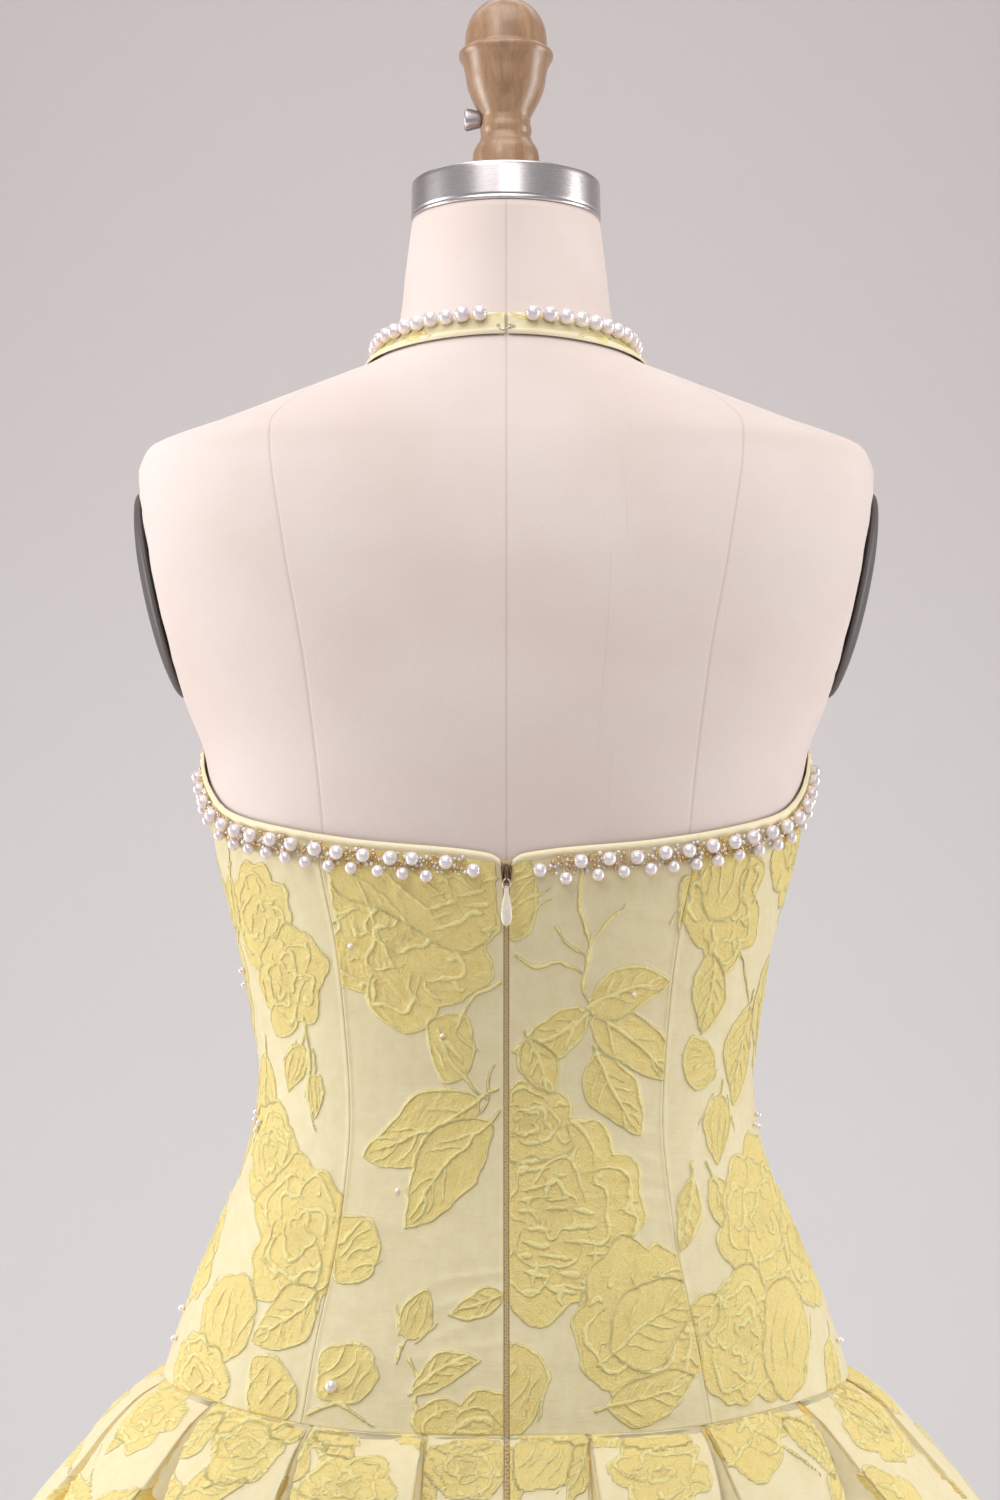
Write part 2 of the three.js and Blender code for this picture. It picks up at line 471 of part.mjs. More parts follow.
const PULL_AXIS = { y: SLIDER_FACE - 3.6, z: 1148.4 };
{
  // Slider: a plate over the closed edges, with two ears that carry the pull.
  const box = (w, d, h, x, y, z) => {
    const g = new THREE.BoxGeometry(w, d, h);
    g.translate(x, y, z);
    return g;
  };
  const plateBox = box(5, 1.8, 8.6, 0, SLIDER_FACE - 0.5 - 0.9, 1151.3);
  const ears = [-1, 1].map((s) => box(0.8, 3.4, 3, s * 1.75, PULL_AXIS.y + 0.6, PULL_AXIS.z));
  add(dress, "zip_slider", join([plateBox, ...ears]), steel);
}
function solid(g) {
  const bareG = new THREE.BufferGeometry().setAttribute("position", (g.index ? g.toNonIndexed() : g).getAttribute("position"));
  const m = mergeVertices(bareG, 1e-4);
  return new wasm.Manifold(new wasm.Mesh({ numProp: 3, vertProperties: m.attributes.position.array, triVerts: new Uint32Array(m.index.array) }));
}
function geometryOf(s) {
  const m = s.getMesh();
  const g = new THREE.BufferGeometry();
  const v = new Float32Array(m.numVert * 3);
  for (let i = 0; i < m.numVert; i++) v.set(m.vertProperties.subarray(i * m.numProp, i * m.numProp + 3), i * 3);
  g.setAttribute("position", new THREE.BufferAttribute(v, 3));
  g.setIndex(new THREE.BufferAttribute(new Uint32Array(m.triVerts), 1));
  g.computeVertexNormals();
  return g;
}
function join(list) {
  return geometryOf(list.map(solid).reduce((a, b) => a.add(b)));
}
{
  // Teardrop pull on a small barrel between the slider's ears.
  const shape = new THREE.Shape();
  const outline = [
    { x: 0.95, z: 0 }, { x: 0.95, z: -1.9 }, { x: 2.1, z: -2.3 }, { x: 1.7, z: -3.6 }, { x: 0.7, z: -4.6 },
    { x: 1.7, z: -8 }, { x: 2.45, z: -12 }, { x: 2.6, z: -15.6 }, { x: 2.2, z: -19 }, { x: 1.3, z: -21.4 }, { x: 0, z: -22.3 },
  ];
  shape.moveTo(outline[0].x, outline[0].z);
  outline.slice(1).forEach((p) => shape.lineTo(p.x, p.z));
  [...outline].reverse().slice(1).forEach((p) => shape.lineTo(-p.x, p.z));
  shape.closePath();
  const tab = new THREE.ExtrudeGeometry(shape, { depth: 1.2, bevelEnabled: false });
  tab.rotateX(Math.PI / 2);
  tab.translate(0, 0.6, 0);
  const barrel = new THREE.CylinderGeometry(0.9, 0.9, 2.0, 16);
  barrel.rotateZ(Math.PI / 2);
  const pull = add(dress, "zip_pull", join([tab, barrel]), enamel);
  pull.position.set(0, PULL_AXIS.y, PULL_AXIS.z);
}

// ---------------------------------------------------------------- bead trims, as strips of their reach
// An edge is a list of places {g, z}; the strip runs between two distances in from it, measured on the surface.
function trim(side, edge, near, far, low, high, inward) {
  const stretch = (g, z) => [1 / perMm(z, g), Math.hypot(...sub(wide(g, z + 0.5), wide(g, z - 0.5)))];
  const build = (out) =>
    edge.map((p, i) => {
      const a = edge[Math.max(0, i - 1)], b = edge[Math.min(edge.length - 1, i + 1)];
      const [kg, kz] = stretch(p.g, p.z);
      const t = norm([(b.g - a.g) * kg, (b.z - a.z) * kz, 0]);
      const n = [t[1] * inward, -t[0] * inward];
      return [near, (near + far) / 2, far].map((d) => at(side, p.g + (n[0] * d) / kg, p.z + (n[1] * d) / kz, out));
    });
  return wall(build(high), build(low), side < 0);
}
const FACE = GAP_FORM + CLOTH;
const backEdge = [
  ...[0.07, 0.2, 0.35, 0.5, 0.65, 0.8, 0.95].map((s) => {
    const z = topCentreBack(s, "z");
    return { g: mix(0, backLine(z), s), z };
  }),
  ...[0.06, 0.18, 0.3, 0.42, 0.5, 0.58, 0.66, 0.74, 0.82, 0.9, 0.985].map((s) => {
    const z = topSideBack(s, "z");
    return { g: mix(backLine(z), 1, s), z };
  }),
];
const armEdge = [
  ...[0.86, 0.8, 0.74, 0.68, 0.62, 0.55, 0.48, 0.4, 0.3, 0.2, 0.1].map((s) => {
    const z = topSideFront(s, "z");
    return { g: mix(frontLine(Math.min(z, 1272)), 1, s), z };
  }),
  ...[1274, 1282, 1292, 1304, 1318, 1332, 1346, 1356, 1366].map((z) => ({ g: frontLine(z), z })),
];
const neckEdgeLine = [
  ...[1236, 1246, 1258, 1272, 1287, 1303, 1320, 1338, 1355, 1370, 1384].map((z) => ({ g: neckEdge(z), z })),
  ...[0.6, 1.3, 2, 2.7, 3.4, 4.1, 4.8, 5.5, 6.2, 6.9, 7.6, 8.3, 9, 9.7, 10.4, 11.1, 11.8, 12.4].map((t) => ({ g: band(t, "gin"), z: band(t, "zin") })),
];
for (const [side, hand] of [[-1, "left"], [1, "right"]]) {
  add(dress, "pearl_trim_back_" + hand, trim(side, backEdge, 3.4, 16.6, FACE + 0.5, FACE + 6.2, 1), pearl);
  add(dress, "pearl_trim_armhole_" + hand, trim(side, armEdge, 3.4, 16.6, FACE + 1, FACE + 6.4, 1), pearl);
  add(dress, "pearl_row_neck_" + hand, trim(side, neckEdgeLine, 0.4, 7.2, FACE + 0.5, FACE + 6.2, -1), pearl);
}

// ---------------------------------------------------------------- dress form
{
  const gs = [...steps(10).slice(0, -1), ...steps(13).map((t) => 1 + t)]; // centre back to centre front
  const round = [...gs.map((g) => [1, g]), ...gs.slice(1, -1).reverse().map((g) => [-1, g])];
  const levels = [FORM_BOTTOM_Z, 786, 830, 860, 886, 916, 946, 976, 1004, 1034, 1064, 1094, 1122, 1148, 1168, 1186, 1202, 1218, 1234, 1248, 1262, 1286, 1312, 1338, 1354, 1363, 1369, 1374, 1381, 1393, 1405, 1413, 1422, 1433, 1460, NECK_TOP_Z];
  const v = [], f = [];
  levels.forEach((z, i) => {
    const shrink = i === 0 ? 6 : 0;
    round.forEach(([side, g]) => {
      const p = bare(g, z);
      const k = shrink ? 1 - shrink / Math.hypot(p[0], p[1]) : 1;
      v.push(side * p[0] * k, p[1] * k, z);
    });
  });
  const n = round.length;
  for (let r = 0; r < levels.length - 1; r++)
    for (let c = 0; c < n; c++) {
      const d = (c + 1) % n, a = r * n;
      f.push(a + c, a + d, a + n + d, a + c, a + n + d, a + n + c);
    }
  const bottom = v.length / 3;
  v.push(0, 0, FORM_BOTTOM_Z);
  const top = bottom + 1;
  v.push(0, NECK_Y, NECK_TOP_Z);
  for (let c = 0; c < n; c++) {
    const d = (c + 1) % n, a = (levels.length - 1) * n;
    f.push(d, c, bottom, a + c, a + d, top);
  }
  const g = new THREE.BufferGeometry();
  g.setAttribute("position", new THREE.Float32BufferAttribute(v, 3));
  g.setIndex(f);
  add(stand, "form_torso", outwards(g), linen);
}
function lathe(rows, segments) {
  const pts = rows.map((p) => new THREE.Vector2(p.r, p.z));
  const g = new THREE.LatheGeometry(pts, segments);
  g.rotateX(Math.PI / 2); // the axis becomes Z
  return g;
}
function lathed(rows, segments) {
  const g = lathe(rows, segments);
  const bareG = new THREE.BufferGeometry().setAttribute("position", g.toNonIndexed().getAttribute("position"));
  const m = mergeVertices(bareG, 1e-4);
  const f = [], idx = m.index.array;
  for (let k = 0; k < idx.length; k += 3)
    if (idx[k] !== idx[k + 1] && idx[k + 1] !== idx[k + 2] && idx[k] !== idx[k + 2]) f.push(idx[k], idx[k + 1], idx[k + 2]);
  m.setIndex(f);
  return outwards(m);
}
{
  const capZ = 1491.2, capTop = 1511;
  add(stand, "neck_cap", lathed([
    { r: 0, z: capZ }, { r: 49.4, z: capZ }, { r: 49.8, z: capZ + 0.8 }, { r: 49.4, z: capTop - 0.9 }, { r: 48.4, z: capTop }, { r: 0, z: capTop },
  ], 48), steel).position.set(0, NECK_Y, 0);

  // Finial with the cross hole of its clamp screw.
  const screwZ = 1545.4;
  const body = lathed([{ r: 0, z: FINIAL[0].z }, ...FINIAL, { r: 0, z: FINIAL_TOP_Z }], 24);
  const drill = new THREE.CylinderGeometry(3.4, 3.4, 24, 16);
  drill.rotateZ(Math.PI / 2);
  drill.translate(-8 - 12, 0, screwZ);
  const cutBody = geometryOf(solid(body).subtract(solid(drill)));
  add(stand, "finial", cutBody, wood).position.set(0, NECK_Y, 0);

  const screw = lathed([
    { r: 0, z: 8.6 }, { r: 3, z: 8.6 }, { r: 3, z: 16.4 }, { r: 4.7, z: 16.7 }, { r: 5.3, z: 17.4 },
    { r: 5.3, z: 21 }, { r: 4.6, z: 21.8 }, { r: 0, z: 21.8 },
  ], 16);
  screw.rotateY(-Math.PI / 2); // lies along -X
  const screwMesh = add(stand, "finial_screw", screw, steel);
  screwMesh.position.set(0, NECK_Y, screwZ);

  // Oval plates that close the armholes.
  const lean = Math.atan2(ARM_CUT.highX - ARM_CUT.lowX, ARM_CUT.highZ - ARM_CUT.lowZ);
  for (const [side, hand] of [[-1, "left"], [1, "right"]]) {
    const plate = lathed([
      { r: 0, z: 0 }, { r: 1, z: 0 }, { r: 0.985, z: 1.3 }, { r: 0.86, z: 2.9 }, { r: 0.66, z: 4.1 }, { r: 0.38, z: 5 }, { r: 0, z: 5.4 },
    ], 28);
    plate.scale(43, 54, 1); // x becomes front to back, y becomes up
    const m = add(stand, "arm_plate_" + hand, plate, greyPlate);
    const midZ = 1294;
    const x = ARM_CUT.lowX + (midZ - ARM_CUT.lowZ) * Math.tan(lean) + 0.6;
    const place = new THREE.Matrix4().makeBasis(
      new THREE.Vector3(0, side, 0),
      new THREE.Vector3(side * Math.sin(lean), 0, Math.cos(lean)),
      new THREE.Vector3(side * Math.cos(lean), 0, -Math.sin(lean)),
    );
    m.quaternion.setFromRotationMatrix(place);
    m.position.set(side * x, -4, midZ);
  }

  add(stand, "stand_pole", lathed([
    { r: 0, z: FOOT_H + 0.3 }, { r: 34, z: FOOT_H + 0.3 }, { r: 33, z: FOOT_H + 6 }, { r: POLE_R + 5, z: FOOT_H + 26 }, { r: POLE_R, z: FOOT_H + 34 },
    { r: POLE_R, z: 738 }, { r: POLE_R + 8, z: 742 }, { r: POLE_R + 8, z: 760 }, { r: 46, z: 765 }, { r: 46, z: FORM_BOTTOM_Z - 0.4 }, { r: 0, z: FORM_BOTTOM_Z - 0.4 },
  ], 24), steel);
  add(stand, "stand_foot", lathed([
    { r: 0, z: 0 }, { r: FOOT_R - 1.5, z: 0 }, { r: FOOT_R, z: 2 }, { r: FOOT_R, z: FOOT_H - 3 }, { r: FOOT_R - 4, z: FOOT_H }, { r: 0, z: FOOT_H },
  ], 56), iron);
}

export default model;
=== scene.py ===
import bpy
import math
import numpy as np
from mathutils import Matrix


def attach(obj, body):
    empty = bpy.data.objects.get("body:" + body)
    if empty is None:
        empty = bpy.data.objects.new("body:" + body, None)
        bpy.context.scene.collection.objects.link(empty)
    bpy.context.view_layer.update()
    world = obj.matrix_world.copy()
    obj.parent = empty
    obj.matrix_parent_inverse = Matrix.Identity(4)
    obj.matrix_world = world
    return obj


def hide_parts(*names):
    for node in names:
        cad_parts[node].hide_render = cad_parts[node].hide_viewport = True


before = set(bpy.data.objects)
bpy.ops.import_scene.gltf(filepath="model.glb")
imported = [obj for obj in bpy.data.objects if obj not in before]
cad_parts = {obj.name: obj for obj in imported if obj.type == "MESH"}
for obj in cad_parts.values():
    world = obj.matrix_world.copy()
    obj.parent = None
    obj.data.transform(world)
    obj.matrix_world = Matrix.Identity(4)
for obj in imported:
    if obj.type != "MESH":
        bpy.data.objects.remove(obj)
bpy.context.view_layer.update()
BODY = "dress_on_form"
PULL = "pull"

# ------------------------------------------------------------------ sizes, mm (the same as the solids')
GAP_FORM, CLOTH = 1.35, 1.65
FACE = GAP_FORM + CLOTH
ZIP_GAP, ZIP_END, ZIP_TOP = 2.6, 836.0, 1157.4
HIP_Z, FORM_BOTTOM_Z, NECK_TOP_Z, BAND_JOIN_Z = 886.0, 772.0, 1490.8, 1385.0
LOBES, CENTRE_HALF, FRONT_FLARE = 7.5, 38.0, 1.08
NECK_Y = 12.0
FORM = np.array([
    # z, half, mid, back, front, sq
    [772, 174, 0, 112, 92, 2.3], [830, 182, 0, 120, 97, 2.3], [886, 175.7, 0, 113.5, 98, 2.25], [918, 166.4, 0, 107, 97.5, 2.25],
    [939, 158.5, 0, 101, 96, 2.25], [959, 149.9, 0, 95.5, 93.5, 2.25], [980, 141.4, 0, 90, 90.5, 2.25], [1001, 132.7, 0, 85.5, 87, 2.25],
    [1032, 125.9, 0, 81, 84, 2.25], [1045, 125.1, 0, 80.5, 84, 2.25], [1074, 128, 0, 82, 86, 2.25], [1115, 135.5, 0, 89, 91, 2.3],
    [1136, 140.4, 0, 93.5, 94, 2.3], [1162, 147.2, 0, 99, 97, 2.35], [1185, 150.9, 0, 102, 99, 2.4], [1212, 155.3, 0, 104.5, 100, 2.5],
    [1239, 166, 0, 106, 99, 2.6], [1270, 179, 0, 106, 96, 2.7], [1302, 188, 0, 104.5, 90, 2.7], [1330, 192, 0, 100, 80.5, 2.6],
    [1350, 191, 0, 94.5, 71.5, 2.5], [1362, 188, 0, 90, 66, 2.4], [1368.5, 184, 0, 87, 63, 2.4], [1373, 174, 0, 84.5, 61.5, 2.4],
    [1380.6, 152.6, 0, 80.5, 59.5, 2.3], [1393, 121, 0.5, 73.5, 56.5, 2.2], [1404.7, 90.5, 1.5, 67.5, 54.5, 2.15], [1412, 72, 3, 65, 52.5, 2.1],
    [1420, 62.5, 5, 62, 50.5, 2.05], [1430, 57.5, 7, 59, 49.3, 2.0], [1440, 55.2, 8.5, 57, 49.2, 2.0], [1464, 52.6, 11, 53.5, 49.6, 2.0],
    [1490.8, 49.2, 12, 49.2, 49.2, 2.0]], float)
BACK_PRINCESS = np.array([[886, 97.4], [921, 91.7], [981, 80], [1030, 75.7], [1089, 79.2], [1115, 82], [1153, 89], [1180, 93.5]], float)
FRONT_PRINCESS = np.array([[886, 90], [960, 74], [1045, 61], [1110, 65], [1160, 72], [1203, 79], [1232, 89], [1254, 106], [1272, 128]], float)
ARMHOLE = np.array([[1272, 128], [1290, 117.5], [1312, 108.5], [1340, 99], [1365, 91], [1385, 84.5]], float)
NECKLINE = np.array([[1230, 0], [1238, 8], [1258, 23], [1286, 38], [1320, 49.5], [1355, 57.5], [1385, 61.5]], float)
TOP_CENTRE_BACK = np.array([[0, 1158.6], [0.035, 1161], [0.08, 1162], [0.75, 1168], [1, 1171]], float)
TOP_SIDE_BACK = np.array([[0, 1171], [0.14, 1173.6], [0.43, 1180], [0.56, 1184.6], [0.7, 1193.6], [0.85, 1204.5], [1, 1214]], float)
TOP_SIDE_FRONT = np.array([[0, 1272], [0.2, 1260], [0.45, 1240], [0.7, 1222.5], [0.88, 1215], [1, 1214]], float)
SKIRT = np.array([
    # z, flare, slit, depth, edge, recess
    [885.5, 1.5, 0.03, 1.0, 0.0, 0], [880, 12.5, 0.035, 8, 0.4, 4], [870, 25, 0.05, 15, 1.2, 6.5], [850, 44, 0.09, 22, 2.3, 8.5],
    [824, 67, 0.14, 27, 3.8, 10], [790, 93.5, 0.175, 31.5, 5.5, 11], [745, 121.5, 0.205, 36, 7.4, 12], [690, 147, 0.23, 40, 9.2, 12],
    [625, 168, 0.255, 44.5, 11, 12], [560, 179, 0.27, 48, 12.4, 12]], float)


# ------------------------------------------------------------------ smooth tables
class Curve:
    """A monotone curve through a table's points."""

    def __init__(self, x, y):
        x, y = np.asarray(x, float), np.asarray(y, float)
        if x[0] > x[-1]:
            x, y = x[::-1], y[::-1]
        d = np.diff(y) / np.diff(x)
        m = np.zeros_like(y)
        m[0], m[-1] = d[0], d[-1]
        h = np.diff(x)
        for i in range(1, len(x) - 1):
            if d[i - 1] * d[i] > 0:
                w0, w1 = 2 * h[i] + h[i - 1], h[i] + 2 * h[i - 1]
                m[i] = (w0 + w1) / (w0 / d[i - 1] + w1 / d[i])
        self.x, self.y, self.m = x, y, m

    def __call__(self, q):
        q = np.clip(np.asarray(q, float), self.x[0], self.x[-1])
        i = np.clip(np.searchsorted(self.x, q, side="right") - 1, 0, len(self.x) - 2)
        h = self.x[i + 1] - self.x[i]
        t = (q - self.x[i]) / h
        t2, t3 = t * t, t * t * t
        return (self.y[i] * (2 * t3 - 3 * t2 + 1) + self.m[i] * h * (t3 - 2 * t2 + t)
                + self.y[i + 1] * (3 * t2 - 2 * t3) + self.m[i + 1] * h * (t3 - t2))


F = {k: Curve(FORM[:, 0], FORM[:, i + 1]) for i, k in enumerate(("half", "mid", "back", "front", "sq"))}
K = {k: Curve(SKIRT[:, 0], SKIRT[:, i + 1]) for i, k in enumerate(("flare", "slit", "depth", "edge", "recess"))}
back_princess, front_princess = Curve(*BACK_PRINCESS.T), Curve(*FRONT_PRINCESS.T)
armhole, neckline = Curve(*ARMHOLE.T), Curve(*NECKLINE.T)
top_centre_back, top_side_back, top_side_front = Curve(*TOP_CENTRE_BACK.T), Curve(*TOP_SIDE_BACK.T), Curve(*TOP_SIDE_FRONT.T)

# ------------------------------------------------------------------ the form's surface
ZS = np.arange(764.0, 1500.0, 1.0)
NSH = 193
SHARE = np.linspace(0, 1, NSH)
_a = np.linspace(0, math.pi / 2, 721)
ANG, SHR, LEN = {}, {}, {}
for front in (0, 1):
    half, e = F["half"](ZS)[:, None], 2 / F["sq"](ZS)[:, None]
    dep = F["front" if front else "back"](ZS)[:, None]
    X = half * np.sin(_a) ** e
    Y = dep * np.clip(np.cos(_a), 0, 1) ** e
    run = np.concatenate([np.zeros((len(ZS), 1)), np.cumsum(np.hypot(np.diff(X, axis=1), np.diff(Y, axis=1)), axis=1)], axis=1)
    LEN[front] = run[:, -1]
    sh = run / run[:, -1:]
    ANG[front] = np.array([np.interp(SHARE, sh[i], _a) for i in range(len(ZS))])
    SHR[front] = np.array([np.interp(np.linspace(0, math.pi / 2, NSH), _a, sh[i]) for i in range(len(ZS))])


def lookup(table, z, t):
    """Bilinear, z in mm and t from 0 to 1."""
    zi = np.clip((z - ZS[0]) / 1.0, 0, len(ZS) - 1.001)
    ti = np.clip(t, 0, 1) * (NSH - 1.001)
    i, j = zi.astype(int), ti.astype(int)
    a, b = zi - i, ti - j
    return (table[i, j] * (1 - a) * (1 - b) + table[i + 1, j] * a * (1 - b) + table[i, j + 1] * (1 - a) * b + table[i + 1, j + 1] * a * b)


def quarter_length(z, front):
    return np.where(front, np.interp(z, ZS, LEN[1]), np.interp(z, ZS, LEN[0]))


def wide(g, z):
    """Point of the form: g 0 at centre back, 1 at the side, 2 at centre front; it mirrors past either end."""
    g, z = np.broadcast_arrays(np.asarray(g, float), np.asarray(z, float))
    sign = np.where((g < 0) | (g > 2), -1.0, 1.0)
    g = np.where(g < 0, -g, np.where(g > 2, 4 - g, g))
    front = g > 1
    share = np.where(front, 2 - g, g)
    a = np.where(front, lookup(ANG[1], z, share), lookup(ANG[0], z, share))
    e = 2 / F["sq"](z)
    x = F["half"](z) * np.sin(a) ** e
    c = np.clip(np.cos(a), 0, 1) ** e
    y = F["mid"](z) + np.where(front, F["front"](z) * c, -F["back"](z) * c)
    s = np.where(z < 1203, 46.0, 58.0)
    swell = np.exp(-((x - 74) ** 2) / (2 * 44.0 ** 2)) + np.exp(-((x + 74) ** 2) / (2 * 44.0 ** 2))
    fade = np.clip((g - 1) / 0.3, 0, 1)
    y = y + np.where(front, 31 * swell * np.exp(-((z - 1203) ** 2) / (2 * s * s)) * fade * fade * (3 - 2 * fade), 0)
    cut = 163.6 + (z - 1239) * (187.6 - 163.6) / (1353 - 1239)
    x = np.where((z > 1219) & (z < 1375), np.minimum(x, cut), x)
    return np.stack([sign * x, y, z], axis=-1)


def unit(v):
    return v / np.maximum(np.linalg.norm(v, axis=-1, keepdims=True), 1e-12)


def normal(g, z):
    e, h = 0.012, 0.8
    du = wide(g + e, z) - wide(g - e, z)
    dz = wide(g, np.minimum(z + h, NECK_TOP_Z)) - wide(g, np.maximum(z - h, FORM_BOTTOM_Z))
    return unit(np.cross(du, dz))


def at(side, g, z, out):
    """Point off the form by out, mm."""
    g, z = np.broadcast_arrays(np.asarray(g, float), np.asarray(z, float))
    p = wide(g, z) + normal(g, z) * np.broadcast_to(np.asarray(out, float), g.shape)[..., None]
    return p * np.array([side, 1, 1])


def per_mm(z, g):
    a, b = wide(g + 0.01, z), wide(g - 0.01, z)
    return 0.02 / np.linalg.norm(a - b, axis=-1)


def g_of(x, z, front):
    e = 2 / F["sq"](z)
    a = np.arcsin(np.clip(np.clip(x, 0, None) / F["half"](z), 0, 1) ** (1 / e))
    sh = lookup(SHR[1 if front else 0], np.asarray(z, float), a / (math.pi / 2))
    return 2 - sh if front else sh


def arc(g, z):
    """Distance round the form from centre back, mm."""
    lb, lf = np.interp(z, ZS, LEN[0]), np.interp(z, ZS, LEN[1])
    return np.where(g <= 1, g * lb, lb + (g - 1) * lf)


HALF_SEAM = 0.05


def back_line(z):
    return g_of(back_princess(z), z, False)


def front_line(z):
    return g_of(np.where(z <= 1272, front_princess(z), armhole(z)), z, True)


def neck_edge(z):
    return np.where(z <= 1230, 2 - HALF_SEAM * per_mm(z, 1.9), g_of(np.maximum(neckline(z), HALF_SEAM), z, True))


def hip_rise(g, z):
    """The seam at the hips climbs a little toward the sides."""
    q = np.clip((np.minimum(g, 2.0) - 0.25) / 0.5, 0, 1)
    near = np.clip(1 - np.abs(z - HIP_Z) / 110.0, 0, 1)
    return 7.2 * q * q * (3 - 2 * q) * near * near


# ------------------------------------------------------------------ noise
def _hash(i, j, seed):
    h = (i.astype(np.int64) * 374761393 + j.astype(np.int64) * 668265263 + seed * 2246822519) & 0xFFFFFFFF
    h = ((h ^ (h >> 13)) * 1274126177) & 0xFFFFFFFF
    return ((h ^ (h >> 16)) & 0xFFFF) / 32767.5 - 1.0


def noise(x, y, seed=0):
    i, j = np.floor(x), np.floor(y)
    a, b = x - i, y - j
    a, b = a * a * a * (a * (a * 6 - 15) + 10), b * b * b * (b * (b * 6 - 15) + 10)
    i, j = i.astype(np.int64), j.astype(np.int64)
    n00, n10, n01, n11 = _hash(i, j, seed), _hash(i + 1, j, seed), _hash(i, j + 1, seed), _hash(i + 1, j + 1, seed)
    return (n00 * (1 - a) + n10 * a) * (1 - b) + (n01 * (1 - a) + n11 * a) * b


def ridged(x, y, seed=0):
    return 1 - np.abs(noise(x, y, seed)) * 2.0


# ------------------------------------------------------------------ woven flowers, drawn as fields on a piece of cloth
def poly_distance(px, py, poly):
    """Signed distance from a closed outline, positive inside."""
    n = len(poly)
    best = np.full(px.shape, 1e9)
    inside = np.zeros(px.shape, bool)
    for k in range(n):
        ax, ay = poly[k]
        bx, by = poly[(k + 1) % n]
        ex, ey = bx - ax, by - ay
        wx, wy = px - ax, py - ay
        t = np.clip((wx * ex + wy * ey) / (ex * ex + ey * ey + 1e-12), 0, 1)
        dx, dy = wx - ex * t, wy - ey * t
        best = np.minimum(best, dx * dx + dy * dy)
        cond = ((ay <= py) & (by > py)) | ((by <= py) & (ay > py))
        cross = ax + (py - ay) / np.where(abs(by - ay) < 1e-9, 1e-9, by - ay) * ex
        inside ^= cond & (px < cross)
    d = np.sqrt(best)
    return np.where(inside, d, -d)


